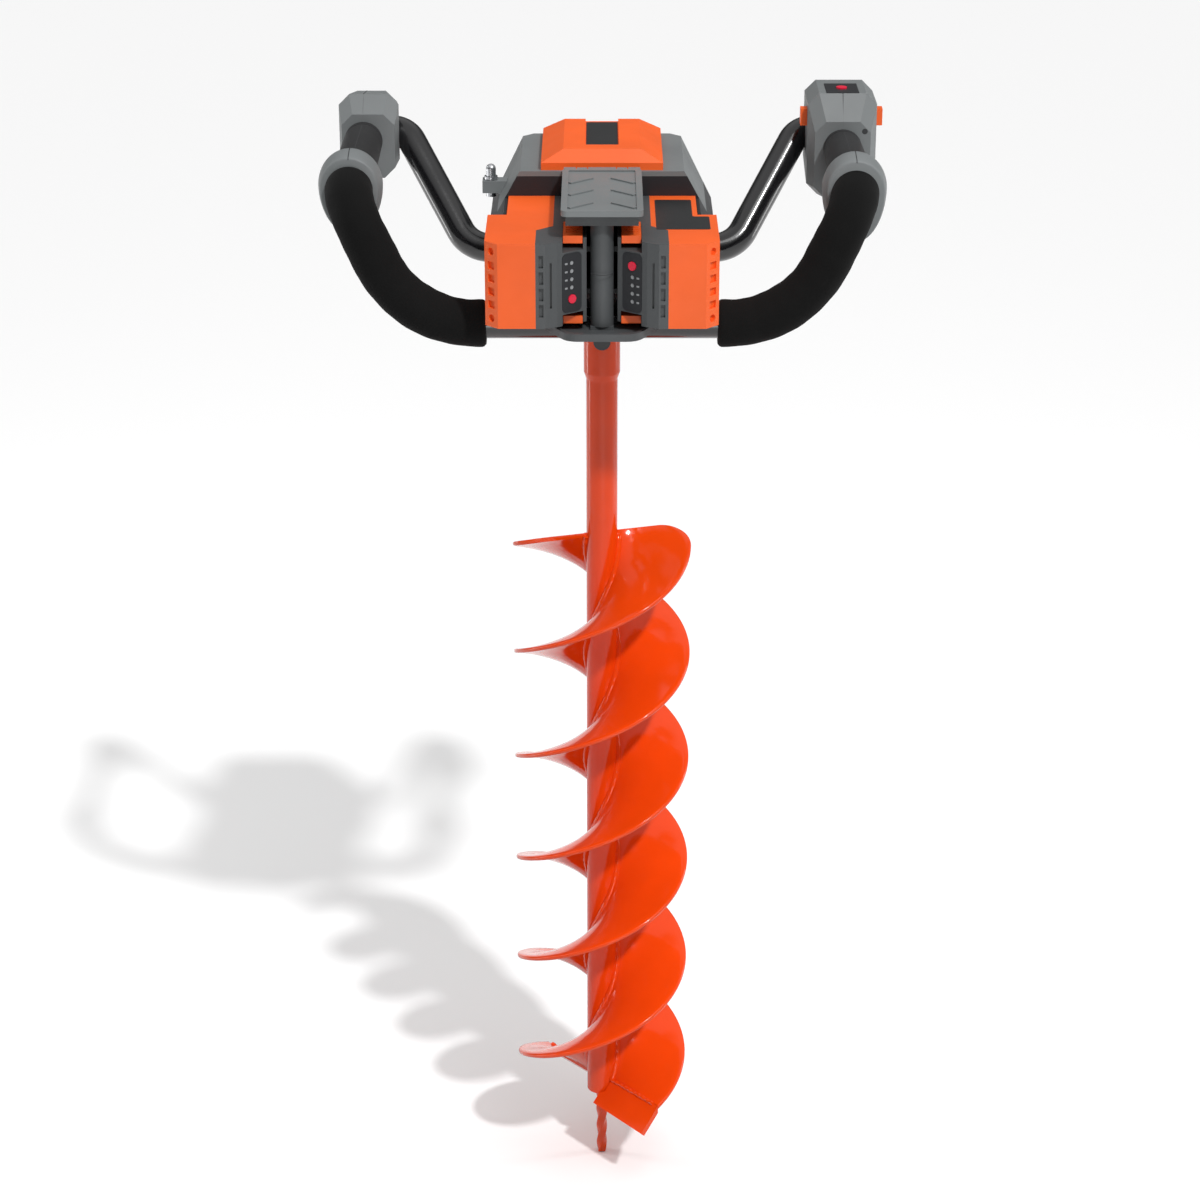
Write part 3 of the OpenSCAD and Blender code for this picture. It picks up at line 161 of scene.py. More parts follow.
finishes = {
    "orange_plastic": finish_of("orange plastic", (0.93, 0.130, 0.020), 0.42,
                                grain=0.35, grain_mm=0.7, specular=0.28),
    "grey_plastic": moulded("grey plastic", (0.180, 0.193, 0.196), 0.4),
    # The darker grey is partly the plastic's own tone and partly painted shade for the packs' shells and
    # the tray
    "slate_plastic": moulded("slate plastic", (0.072, 0.077, 0.080), 0.4),
    "dark_plastic": moulded("charcoal plastic", (0.024, 0.025, 0.028), 0.28),
    "red_button": finish_of("red button", (0.78, 0.012, 0.05), 0.35, grain=0.15, grain_mm=0.6),
    "foam": finish_of("black foam", (0.006, 0.006, 0.006), 0.9,
                      grain=0.8, grain_mm=0.9, specular=0.12, sheen=0.02),
    "grip_rubber": finish_of("grip rubber", (0.016, 0.016, 0.017), 0.62,
                             grain=0.5, grain_mm=0.8, specular=0.4),
}
print("plastics and soft pieces", len(finishes))

# %% [markdown]
# ## Paints, metals and inner pieces
# The bit and the tube are sprayed, so they are smooth and glossy with a slight orange peel: a bump with
# grains of a few millimetres. A clear coat over the colour could give the gloss too. Here the black tube
# has one, and the orange paint is smooth by itself. Bare metals get their look from Metallic.

# %% Paints, metals and inner pieces
finishes.update({
    "orange_paint": finish_of("orange paint", (0.82, 0.060, 0.003), 0.12,
                              grain=0.06, grain_mm=4.0, specular=0.35),
    "black_paint": finish_of("black enamel", (0.006, 0.006, 0.007), 0.2,
                             grain=0.08, grain_mm=2.5, coat=0.5),
    "steel": finish_of("machined steel", (0.55, 0.56, 0.58), 0.3, metal=1.0, grain=0.1, grain_mm=0.4),
    "black_steel": finish_of("black oxide steel", (0.016, 0.016, 0.017), 0.4, metal=0.4),
    "aluminium": finish_of("cast aluminium", (0.42, 0.43, 0.44), 0.48,
                           metal=0.9, grain=0.5, grain_mm=1.0),
    "brass": finish_of("plated brass", (0.75, 0.52, 0.20), 0.28, metal=1.0),
    "board": finish_of("circuit board", (0.02, 0.13, 0.05), 0.4, grain=0.3, grain_mm=1.2),
    "cells": finish_of("cell sleeve", (0.10, 0.20, 0.42), 0.35, grain=0.1),
})
bare_label = finish_of("bare label", (0.022, 0.023, 0.024), 0.38, grain=0.1, grain_mm=0.6)
lamp_lens = finish_of("lamp lens", (0.30, 0.31, 0.32), 0.3, grain=0.1, grain_mm=0.5)
seam_shadow = finish_of("seam shadow", (0.030, 0.032, 0.034), 0.7, grain=0.2, grain_mm=0.7)
print("finishes", len(finishes), "and three for small details")

# %% [markdown]
# ## Finishes on the nodes
# A finish could be set on each piece by hand. But the record names a slot for each node, and the finishes
# are keyed by slot, so one loop dresses them all.

# %% Finishes on the nodes
slot_of = {row["node"]: row["material_slot"] for row in frame["record"]["subparts"]}
# The packs' shells and the tray take the darker grey: partly their own darker plastic, partly painted
# shade, since they face away from the light and the tray's inside lies in shade
shade_grey_nodes = ("left_pack_shell", "right_pack_shell", "dock_tray")
for name, obj in nodes.items():
    obj.data.materials.clear()
    obj.data.materials.append(finishes["slate_plastic" if name in shade_grey_nodes else slot_of[name]])
print("nodes with a finish", len(nodes))

# %% [markdown]
# ## Meshes from rings
# Most of the round pieces here are a row of rings with a skin over them: a flight, a sleeve, a collar.
# Curves with a bevel could make some of them, but plain points and faces give full control of the ends.
# Sizes are in millimetres, as in the CAD part, and are turned to metres when the mesh is made.

# %% Mesh maker
MM = 0.001

def shape(name, points, faces, body, slot, sharp=35, finish=None):
    mesh = bpy.data.meshes.new(name)
    mesh.from_pydata([tuple(Vector(p) * MM) for p in points], [], faces)
    mesh.validate()
    mesh.polygons.foreach_set("use_smooth", [True] * len(mesh.polygons))
    mesh.set_sharp_from_angle(angle=math.radians(sharp))
    mesh.materials.append(finish or finishes[slot])
    obj = bpy.data.objects.new(name, mesh)
    scene.collection.objects.link(obj)
    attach(obj, body)
    return obj

def made(start):
    """Names of the objects that start with the given letters."""
    return [o.name for o in bpy.data.objects if o.name.startswith(start)]

def box_mm(node):
    low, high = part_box(node)
    return low / MM, high / MM

print("head starts", round(box_mm("gear_case")[0].z, 1), "mm up")

# %% Skin
def skin(rings):
    """Points and faces over a row of rings that all have the same number of points."""
    count = len(rings[0])
    points = [p for ring in rings for p in ring]
    faces = []
    for k in range(len(rings) - 1):
        for i in range(count):
            j = (i + 1) % count
            faces.append((k * count + i, k * count + j, (k + 1) * count + j, (k + 1) * count + i))
    last = (len(rings) - 1) * count
    faces.append(tuple(reversed(range(count))))
    faces.append(tuple(range(last, last + count)))
    return points, faces

square = [(0, 0), (1, 0), (1, 1), (0, 1)]
cube = skin([[(x, y, z) for x, y in square] for z in (0, 1)])
print("a cube from two rings has", len(cube[0]), "points and", len(cube[1]), "faces")

# %% Rings round a path
def tube_rings(path, radius_at, sides=40):
    """Rings round a path. radius_at gives the radius at a distance from the start and from the end."""
    along = [0.0]
    for p, q in zip(path, path[1:]):
        along.append(along[-1] + (q - p).length)
    heading = (path[1] - path[0]).normalized()
    side = heading.orthogonal().normalized()
    rings = []
    for i, p in enumerate(path):
        ahead = (path[min(i + 1, len(path) - 1)] - path[max(i - 1, 0)]).normalized()
        side = (side - ahead * side.dot(ahead)).normalized()
        up = ahead.cross(side)
        r = radius_at(along[i], along[-1] - along[i])
        rings.append([p + (side * math.cos(t) + up * math.sin(t)) * r
                      for t in (2 * math.pi * k / sides for k in range(sides))])
    return rings

straight = [Vector((0, 0, z)) for z in (0, 5, 10)]
rings = tube_rings(straight, lambda s, e: 1.0)
print("a straight path of", len(straight), "points has", len(rings), "rings of", len(rings[0]))

# %% [markdown]
# ## Flights
# The bit has two flights of one right-hand screw. Each is a steel plate wound round the shaft, with an
# edge that the paint has rounded, an upper corner cut round, and a weld bead where it meets the shaft.
# A Screw modifier could wind the plate, but not round its upper corner, so each ring is worked out.

# %% Flight formula
HEAD = box_mm("gear_case")[0].z
FLIGHT_LOW, FLIGHT_R, PLATE = 82.0, 75.0, 4.0
LEAD, FLIGHT_START, FLIGHT_END = 196.5, 132.0, 2.68 * 360
CORNER_R = 25.0
CORNER_TURN = math.degrees(CORNER_R / FLIGHT_R)
SHAFT_R = 12.6
EDGE_ROUND, EDGE_STEP, EDGE_DROP = 1.4, 0.3, 0.5

def screw(r, turn, drop, half_turn):
    a = math.radians(FLIGHT_START + turn + half_turn)
    return (-r * math.cos(a), -r * math.sin(a), FLIGHT_LOW + LEAD * turn / 360 - drop)

def reach(turn):
    """Reach of the flight's edge: its upper corner is rounded."""
    share = max(0.0, (turn - FLIGHT_END) / CORNER_TURN + 1)
    return FLIGHT_R - CORNER_R * (1 - math.sqrt(max(0.0, 1 - share * share)))

print("flight reaches", reach(0), "mm and", round(reach(FLIGHT_END), 1), "mm at its upper end")

# %% Flight section
PLAIN_STEPS, CORNER_STEPS = 240, 20
inner = [SHAFT_R, 15, 18, 22, 27, 33, 41, 50, 60, 69, FLIGHT_R - EDGE_ROUND]
edge = [(FLIGHT_R - EDGE_STEP, EDGE_DROP), (FLIGHT_R, EDGE_ROUND),
        (FLIGHT_R, PLATE - EDGE_ROUND), (FLIGHT_R - EDGE_STEP, PLATE - EDGE_DROP)]
section = [(r, 0.0) for r in inner] + edge + [(r, PLATE) for r in reversed(inner)]
plain = FLIGHT_END - CORNER_TURN
turns = [plain * k / PLAIN_STEPS for k in range(PLAIN_STEPS)]
turns += [FLIGHT_END - CORNER_TURN * (1 - math.sin(math.pi / 2 * k / CORNER_STEPS))
          for k in range(CORNER_STEPS + 1)]

def flight_ring(turn, half_turn):
    squeeze = (reach(turn) - SHAFT_R) / (FLIGHT_R - SHAFT_R)
    return [screw(SHAFT_R + (r - SHAFT_R) * squeeze, turn, d, half_turn) for r, d in section]

print("rings in a flight", len(turns), "points in a ring", len(section))

# %% Flights and their weld beads
FLIGHTS = (("a", 0), ("b", 180))
BEAD_R, BEAD_RIPPLE = 3.0, 0.25
for letter, half_turn in FLIGHTS:
    rings = [flight_ring(t, half_turn) for t in turns]
    flight = shape("screw_flight_" + letter, *skin(rings), "auger", "orange_paint", 50)
    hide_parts("flight_" + letter)
    bead = [Vector(screw(SHAFT_R + 1, t, PLATE / 2, half_turn)) for t in turns[:-1]]
    ripple = tube_rings(bead, lambda s, e: BEAD_R + BEAD_RIPPLE * math.sin(s * 0.9), 14)
    shape("weld_bead_" + letter, *skin(ripple), "auger", "orange_paint", 80)
print("flights", made("screw_flight"), "beads", made("weld_bead"))

# %% [markdown]
# ## Pilot point
# The pilot point keeps the bit from wandering. It is a square bar twisted nearly once round, a little
# narrower at its blunt tip. A Simple Deform modifier could twist a bar, but rings also taper it and ease
# its corners, as on rolled bar.

# %% Pilot point
PILOT_TOP = box_mm("pilot_point")[1].z
PILOT_HALF, TIP_SHARE, PILOT_TWIST, PILOT_STEPS = 4.0, 0.85, 340.0, 80
TIP_CHAMFER, TIP_EASE = 0.012, 0.7
FLAT, EASED = 0.72, 0.93
CORNERS = [(1, FLAT), (EASED, EASED), (FLAT, 1), (-FLAT, 1), (-EASED, EASED), (-1, FLAT),
           (-1, -FLAT), (-EASED, -EASED), (-FLAT, -1), (FLAT, -1), (EASED, -EASED), (1, -FLAT)]

def pilot_ring(share, half):
    c = math.cos(math.radians(PILOT_TWIST * share))
    s = math.sin(math.radians(PILOT_TWIST * share))
    return [(half * (x * c - y * s), half * (x * s + y * c), PILOT_TOP * share) for x, y in CORNERS]

rings = [pilot_ring(0, PILOT_HALF * TIP_SHARE * TIP_EASE)]
for k in range(PILOT_STEPS + 1):
    share = k / PILOT_STEPS
    half = PILOT_HALF * (TIP_SHARE + (1 - TIP_SHARE) * share)
    rings.append(pilot_ring(TIP_CHAMFER + (1 - TIP_CHAMFER) * share, half))
pilot = shape("pilot", *skin(rings), "auger", "orange_paint", 40)
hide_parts("pilot_point")
print("pilot point", PILOT_TOP, "mm long")

# %% [markdown]
# ## Blade welds
# A cutting blade is welded on at the lower end of each flight. The bead could be a plain rod, but a hand
# weld swells and shrinks, so two waves of different length vary its radius.

# %% Blade welds
BLADE_DIP = math.radians(45)
WELD_FROM, WELD_LONG, WELD_DOWN, WELD_STEPS = 14, 55, -0.9, 90
WELD_R, WELD_QUICK, WELD_SLOW = 1.7, 0.2, 0.15

def blade_point(along, down, half_turn):
    """Point on the upper face of a blade, which dips from the end of its flight."""
    a = math.radians(180 + FLIGHT_START + half_turn)
    y = down * math.cos(BLADE_DIP)
    z = FLIGHT_LOW + down * math.sin(BLADE_DIP)
    return Vector((along * math.cos(a) - y * math.sin(a), along * math.sin(a) + y * math.cos(a), z))

def weld_radius(from_start, to_end):
    quick = WELD_QUICK * math.sin(from_start * 1.1)
    slow = WELD_SLOW * math.sin(from_start * 0.37)
    return WELD_R + quick + slow

for letter, half_turn in FLIGHTS:
    seam = [blade_point(WELD_FROM + WELD_LONG * k / WELD_STEPS, WELD_DOWN, half_turn)
            for k in range(WELD_STEPS + 1)]
    ripple = tube_rings(seam, weld_radius, 12)
    shape("blade_weld_" + letter, *skin(ripple), "auger", "orange_paint", 80)
print("blade welds", made("blade_weld"))

# %% [markdown]
# ## Tube frame
# A bent steel tube makes the frame. From a clamp at the head it runs out and back to a grip, forwards,
# down and across the front, and then the same way back on the other side. The CAD part holds a left and
# a right half. A bevelled curve could follow the path too, but rings also serve the foam round it.

# %% Bent path
def bent_path(corners, radii, step_deg=4):
    """Points along straight runs joined by bends, as in the CAD tube."""
    points = [Vector(corners[0])]
    for i in range(1, len(corners) - 1):
        before, corner, after = (Vector(corners[k]) for k in (i - 1, i, i + 1))
        a = (corner - before).normalized()
        b = (after - corner).normalized()
        turn = a.angle(b)
        radius = radii[i - 1]
        start = corner - a * radius * math.tan(turn / 2)
        inward = (b - a * a.dot(b)).normalized()
        centre = start + inward * radius
        count = max(2, round(math.degrees(turn) / step_deg))
        for k in range(count + 1):
            t = turn * k / count
            points.append(centre - inward * radius * math.cos(t) + a * radius * math.sin(t))
    points.append(Vector(corners[-1]))
    return points

elbow = bent_path([(0, 0, 0), (50, 0, 0), (50, 50, 0)], [20])
print("a square bend has", len(elbow), "points")

# %% Spaced path
def spaced(path, step):
    """The same path with points no further apart than step."""
    points = []
    for p, q in zip(path, path[1:]):
        count = max(1, math.ceil((q - p).length / step))
        points += [p.lerp(q, k / count) for k in range(count)]
    return points + [path[-1]]

print("the same bend has", len(spaced(elbow, 5)), "points when spaced by 5 mm")

# %% Tube
TUBE_R = 12.0
grip_low, grip_high = box_mm("right_grip")
GRIP_X, GRIP_Z = (grip_low.x + grip_high.x) / 2, (grip_low.z + grip_high.z) / 2
tube_low = box_mm("right_handle_tube")[0]
CROSS_Y, CROSS_Z = tube_low.y + TUBE_R, tube_low.z + TUBE_R
CLAMP_X, CLAMP_Y, CLAMP_Z = 70, 72, HEAD + 31
FIRST_BEND_X, ELBOW_Y, BACK_Y = 110, 138, 148
ELBOW_X, ELBOW_Z = GRIP_X - 34, GRIP_Z + 3
LOWER_BEND_X = GRIP_X - 46
BENDS = [28, 22, 17, 32, 84]

def frame_side(sign):
    corners = ((CLAMP_X, CLAMP_Y, CLAMP_Z), (FIRST_BEND_X, CLAMP_Y, CLAMP_Z),
               (ELBOW_X, ELBOW_Y, ELBOW_Z), (GRIP_X, BACK_Y, GRIP_Z),
               (GRIP_X, CROSS_Y, GRIP_Z), (LOWER_BEND_X, CROSS_Y, CROSS_Z))
    return [Vector((sign * x, y, z)) for x, y, z in corners]

SIDES = (("left", -1), ("right", 1))
corners = frame_side(-1) + frame_side(1)[::-1]
path = spaced(bent_path(corners, BENDS + BENDS[::-1]), 12)
rings = tube_rings(path, lambda s, e: TUBE_R, 48)
tube = shape("handle_frame", *skin(rings), "powerhead", "black_paint", 60)
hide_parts("left_handle_tube", "right_handle_tube")
print("tube", made("handle_frame"), "along", len(path), "points")

# %% [markdown]
# ## Foam sleeves
# A thick foam sleeve is pushed over each front bend. Foam is never quite even. Sculpting could show that,
# but two slow waves in the radius do it with two numbers, and the cut ends are eased in the same formula.

# %% Foam sleeves
FOAM_R, FOAM_EASE, FOAM_EASE_LONG = 19.0, 2.2, 3.0
FOAM_SLOW, FOAM_QUICK = 0.22, 0.12

def foam_radius(from_start, to_end):
    near = min(from_start, to_end)
    edge = FOAM_R - FOAM_EASE * max(0.0, 1 - near / FOAM_EASE_LONG) ** 2
    waver = FOAM_SLOW * math.sin(from_start * 0.11) + FOAM_QUICK * math.sin(from_start * 0.37)
    return edge + waver - FOAM_SLOW - FOAM_QUICK

for side, sign in SIDES:
    low, high = box_mm(side + "_foam")
    end_x = min(abs(low.x), abs(high.x))
    corners = [Vector((sign * x, y, z)) for x, y, z in (
        (GRIP_X, high.y, GRIP_Z), (GRIP_X, CROSS_Y, GRIP_Z),
        (LOWER_BEND_X, CROSS_Y, CROSS_Z), (end_x, CROSS_Y, CROSS_Z))]
    path = spaced(bent_path(corners, BENDS[3:], 3), 2)
    rings = tube_rings(path, foam_radius, 56)
    sleeve = shape("foam_sleeve_" + side, *skin(rings), "powerhead", "foam", 70)
    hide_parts(side + "_foam")
print("foam sleeves", made("foam_sleeve"))

# %% [markdown]
# ## Grips
# Each rubber grip swells slightly in the middle and has a groove near each end. Loop cuts and scaling
# could shape it, but a formula for the radius is easy to change. On top it has the fine line that a
# two-part mould leaves.

# %% Grip rings
GRIP_R, GRIP_SWELL, GROOVE = 15.8, 0.7, 0.7
SEAM_R = 0.35

def ring_y(x, y, z, wide, up, down, sides=64):
    """A ring across the grip that is taller below than above."""
    points = []
    for k in range(sides):
        t = 2 * math.pi * k / sides
        s = math.sin(t)
        points.append((x + wide * math.cos(t), y, z + (up if s > 0 else down) * s))
    return points

def grip_radius(share):
    grooved = 0.05 < share < 0.062 or 0.938 < share < 0.95
    return GRIP_R + GRIP_SWELL * math.sin(math.pi * share) - (GROOVE if grooved else 0.0)

def thin_line(path):
    return skin(tube_rings(path, lambda s, e: SEAM_R, 8))

print("grip radius", grip_radius(0), "mm at the end and", grip_radius(0.5), "mm in the middle")

# %% Grips
GRIP_STEPS = 120
SEAM_END, SEAM_STEPS, SEAM_SINK = 10, 20, 0.05
for side, sign in SIDES:
    low, high = box_mm(side + "_grip")
    rings = []
    for k in range(GRIP_STEPS + 1):
        share = k / GRIP_STEPS
        r = grip_radius(share)
        y = high.y + (low.y - high.y) * share
        rings.append(ring_y(sign * GRIP_X, y, GRIP_Z, r, r, r))
    grip = shape("rubber_grip_" + side, *skin(rings), "powerhead", "grip_rubber", 40)
    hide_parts(side + "_grip")
    line = []
    for k in range(SEAM_STEPS + 1):
        y = high.y - SEAM_END + (low.y - high.y + 2 * SEAM_END) * k / SEAM_STEPS
        top = GRIP_R - SEAM_SINK + GRIP_SWELL * math.sin(math.pi * k / SEAM_STEPS)
        line.append(Vector((sign * GRIP_X, y, GRIP_Z + top)))
    shape("grip_seam_" + side, *thin_line(line), "powerhead", "grip_rubber", 60, seam_shadow)
print("grips", made("rubber_grip"), "lines", made("grip_seam"))

# %% [markdown]
# ## Collars
# The collar in front of each grip is a flared ring, taller below than above, that stops the hand. A Screw
# modifier turns only round shapes, so this one is a row of rings too. A short list gives its profile.

# %% Collars
# Distance from the back of a collar and the share of its full size there
COLLAR = [(0, 0.80), (0.4, 0.86), (1.6, 0.93), (3.6, 0.985), (6, 1.0), (10, 1.0), (16, 0.965),
          (21, 0.93), (23.6, 0.905), (24.7, 0.88), (25, 0.84)]
for side, sign in SIDES:
    low, high = box_mm(side + "_collar")
    wide, up, down = (high.x - low.x) / 2, high.z - GRIP_Z, GRIP_Z - low.z
    rings = [ring_y(sign * GRIP_X, high.y - d, GRIP_Z, wide * f, up * f, down * f) for d, f in COLLAR]
    collar = shape("grip_collar_" + side, *skin(rings), "powerhead", "grey_plastic", 50)
    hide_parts(side + "_collar")
    line = [Vector((sign * GRIP_X, high.y - d, GRIP_Z + up * f)) for d, f in COLLAR]
    shape("collar_seam_" + side, *thin_line(line), "powerhead", "grey_plastic", 60, seam_shadow)
print("collars", made("grip_collar"), "lines", made("collar_seam"))

# %% [markdown]
# ## Moulded edges
# A mould or a die never leaves a sharp edge, and a small round catches a line of light. A Bevel modifier
# gives that to every CAD piece that still shows, without moving a point of its mesh. The large housings
# get more, and the gears, cells and contacts inside none.

# %% Edge rounds
EDGE_MM, EDGE_SEGMENTS = 0.35, 3
edge_mm = {"top_cover": 1.6, "upper_housing": 1.4, "lower_housing": 1.4, "battery_lid": 0.8,
           "dock_tray": 1.2, "battery_dock": 0.9, "left_end_housing": 2.2, "right_switch_housing": 2.2}
for side, sign in SIDES:
    edge_mm.update({side + "_pack_case": 1.0, side + "_pack_shell": 0.8,
                    side + "_upper_latch": 0.7, side + "_lower_latch": 0.7})
rounded_nodes = 0
for name, obj in nodes.items():
    inner_piece = slot_of[name] in ("cells", "board", "brass")
    geared = name in ("output_gear", "layshaft", "motor_rotor")
    if obj.hide_render or inner_piece or geared:
        continue
    obj.data.polygons.foreach_set("use_smooth", [True] * len(obj.data.polygons))
    obj.data.set_sharp_from_angle(angle=math.radians(30))
    bevel = obj.modifiers.new("edge round", "BEVEL")
    bevel.width = edge_mm.get(name, EDGE_MM) * MM
    bevel.segments = EDGE_SEGMENTS
    bevel.limit_method = "ANGLE"
    bevel.angle_limit = math.radians(28)
    bevel.harden_normals = True
    rounded_nodes += 1
print("rounded nodes", rounded_nodes)

# %% [markdown]
# ## Labels
# The cover has a shallow recess for a label, and the right pack has a label on top. A flat plane would
# do from afar, but a label has a thin edge that shows. So both are thin plates with rounded corners,
# made as prisms, in a slightly smoother charcoal.

# %% Prism
def prism(outline, low, high, place=None):
    """Points and faces of a flat outline given some thickness, then put in place."""
    rings = [[Vector((x, y, z)) for x, y in outline] for z in (low, high)]
    if place:
        rings = [[place @ p for p in ring] for ring in rings]
    return skin(rings)

print("a square prism has", len(prism(square, 0, 1)[1]), "faces")

# %% Rounded outline
def rounded(corners, radius, steps=6):
    """A flat outline, given anticlockwise, with each corner turned into an arc."""
    outline = []
    for i, corner in enumerate(corners):
        p = Vector(corner)
        a = (Vector(corners[i - 1]) - p).normalized()
        b = (Vector(corners[(i + 1) % len(corners)]) - p).normalized()
        half = a.angle(b) / 2
        middle = p + (a + b).normalized() * radius / math.sin(half)
        start = p + a * radius / math.tan(half) - middle
        bend = math.pi - 2 * half
        side = -1 if a.x * b.y - a.y * b.x > 0 else 1
        for k in range(steps + 1):
            outline.append(tuple(middle + Matrix.Rotation(side * bend * k / steps, 2) @ start))
    return outline

print("a rounded square has", len(rounded(square, 0.2)), "points")

# %% Labels
LABEL_SINK, LABEL_RISE = 0.3, 0.25

def plate(name, outline, z, body):
    flat = prism(outline, z - LABEL_SINK, z + LABEL_RISE)
    return shape(name, *flat, body, "dark_plastic", 30, bare_label)

low, high = box_mm("top_cover")
RECESS_DEEP, LABEL_HALF = 2.5, 12.9
front, back = low.y + 24, high.y - 9
outline = rounded([(-LABEL_HALF, front), (LABEL_HALF, front), (LABEL_HALF, back), (-LABEL_HALF, back)], 1.0)
plate("cover_label", outline, high.z - RECESS_DEEP, "powerhead")

low, high = box_mm("right_pack_case")
IN_X, STEP_X, OUT_X = 42, 71, 84
front, step_y, back = high.y - 100, high.y - 63, high.y - 13
outline = rounded([(IN_X, front), (OUT_X, front), (OUT_X, step_y),
                   (STEP_X, step_y), (STEP_X, back), (IN_X, back)], 2.0)
plate("pack_label", outline, high.z, "right_pack")
print("labels", made("cover_label") + made("pack_label"))

# %% [markdown]
# ## Gauge lamps
# Each pack has a gauge with four lamps in small holes, and a plain bar beside each. A lamp could be a
# coloured dot, but a short pin in its hole has a shaded rim as well. One pack is the other turned over,
# so its row runs the other way.

# %% Lamp and bar outlines
MARK_HALF_W, MARK_HALF_H = 1.2, 0.7

def circle(r, sides=24):
    turn = 2 * math.pi / sides
    return [(r * math.cos(turn * k), r * math.sin(turn * k)) for k in range(sides)]

def bar_outline(x):
    corners = [(-MARK_HALF_W, -MARK_HALF_H), (MARK_HALF_W, -MARK_HALF_H),
               (MARK_HALF_W, MARK_HALF_H), (-MARK_HALF_W, MARK_HALF_H)]
    return rounded([(x + px, py) for px, py in corners], 0.3)

print("points in a lamp", len(circle(1)), "and in a bar", len(bar_outline(0)))

# %% Gauge lamps
GAUGE_LEAN, GAUGE_FACE = math.radians(35.417), 0.35
LAMP_R, LAMP_SPACING, FIRST_LAMP = 1.55, 6.5, 4
LAMP_LOW, LAMP_HIGH = -0.7, 0.25
MARK_OUT, MARK_LOW, MARK_HIGH = 5.4, 0.3, 0.72
for side, sign in SIDES:
    low, high = box_mm(side + "_pack_gauge")
    middle = (low + high) / 2
    outward = Vector((-sign * math.sin(GAUGE_LEAN), -math.cos(GAUGE_LEAN), 0))
    facing = outward.to_track_quat("Z", "Y").to_matrix().to_4x4()
    for n in range(4):
        rise = Vector((0, 0, sign * (FIRST_LAMP - LAMP_SPACING * n)))
        place = Matrix.Translation(middle + rise + outward * GAUGE_FACE) @ facing
        lamp = prism(circle(LAMP_R), LAMP_LOW, LAMP_HIGH, place)
        shape(f"gauge_lamp_{side}_{n + 1}", *lamp, side + "_pack", "grey_plastic", 40, lamp_lens)
        bar = prism(bar_outline(sign * MARK_OUT), MARK_LOW, MARK_HIGH, place)
        shape(f"gauge_mark_{side}_{n + 1}", *bar, side + "_pack", "grey_plastic", 40, lamp_lens)
print("gauge lamps", len(made("gauge_lamp")), "bars", len(made("gauge_mark")))

# %% [markdown]
# ## Parting lines
# The handle housings are two half shells, and the wall between the packs has a joint line round its nose.
# A cut in the mesh would need the CAD node changed, so each line is a very thin dark thread laid along
# the surface.

# %% Parting lines
def seam_line(name, points, r=0.4):
    path = spaced([Vector(p) for p in points], 6)
    thread = skin(tube_rings(path, lambda s, e: r, 8))
    shape(name, *thread, "powerhead", "grey_plastic", 60, seam_shadow)

low, high = box_mm("left_end_housing")
profile = [(low.y + 0.5, 17), (low.y + 0.5, 22), (low.y + 14, 36), (high.y - 0.5, 30)]
seam_line("housing_seam_left", [(-GRIP_X, y, GRIP_Z + rise) for y, rise in profile])
low, high = box_mm("right_switch_housing")
profile = [(low.y + 0.5, 17), (low.y + 0.5, 22), (low.y + 12.8, 43)]
seam_line("housing_seam_right", [(GRIP_X, y, GRIP_Z + rise) for y, rise in profile])

NOSE_R, NOSE_Z = 9.0, HEAD + 65.5
nose = box_mm("battery_dock")[0].y
nose_turns = [math.radians(d) for d in range(-85, 86, 10)]
nose_arc = [(NOSE_R * math.sin(t), nose + NOSE_R - NOSE_R * math.cos(t), NOSE_Z) for t in nose_turns]
seam_line("spine_seam", nose_arc, r=0.3)
print("parting lines", made("housing_seam") + made("spine_seam"))

# %% [markdown]
# ## Housing screw
# One screw shows in the front of the right housing. At this size it is a dark dot, so a low disc does,
# without a thread or a slot.

# %% Housing screw
SCREW_OUT, SCREW_UP, SCREW_R = 18, 14, 2.4
low, high = box_mm("right_switch_housing")
face = Matrix.Translation((GRIP_X + SCREW_OUT, low.y + 0.1, GRIP_Z + SCREW_UP))
face = face @ Matrix.Rotation(math.radians(90), 4, "X")
head = prism(circle(SCREW_R), -0.6, 0.12, face)
shape("housing_screw", *head, "powerhead", "black_steel", 40, seam_shadow)
print("screw", made("housing_screw"), "with a radius of", SCREW_R, "mm")

# %% [markdown]
# ## Camera
# The camera stands where the photograph was taken from: in front, and above the grips. It could be set by
# eye, but the flights rise by the same step each turn, so its place and lens were worked out from them.

# %% Camera
lens = bpy.data.cameras.new("camera")
lens.lens = 90.82
lens.sensor_width = 36.0
camera = bpy.data.objects.new("camera", lens)
camera.location = (-0.0016, -2.36938, 1.53075)
camera.rotation_euler = (math.radians(67.4327), 0, 0)
scene.collection.objects.link(camera)
scene.camera = camera
print("camera lens", round(lens.lens, 2), "mm")

# %% [markdown]
# ## Studio floor
# The floor should look white. Stronger lamps would do that, but they would bleach the object too. So its
# colour is near white for rays that come from the camera or from a reflection, and dimmer for the light
# it throws back up. It is wide enough that its far edge stays out of most views.

# %% Floor finish
FLOOR_THROWS, FLOOR_SEEN = 0.45, 0.97

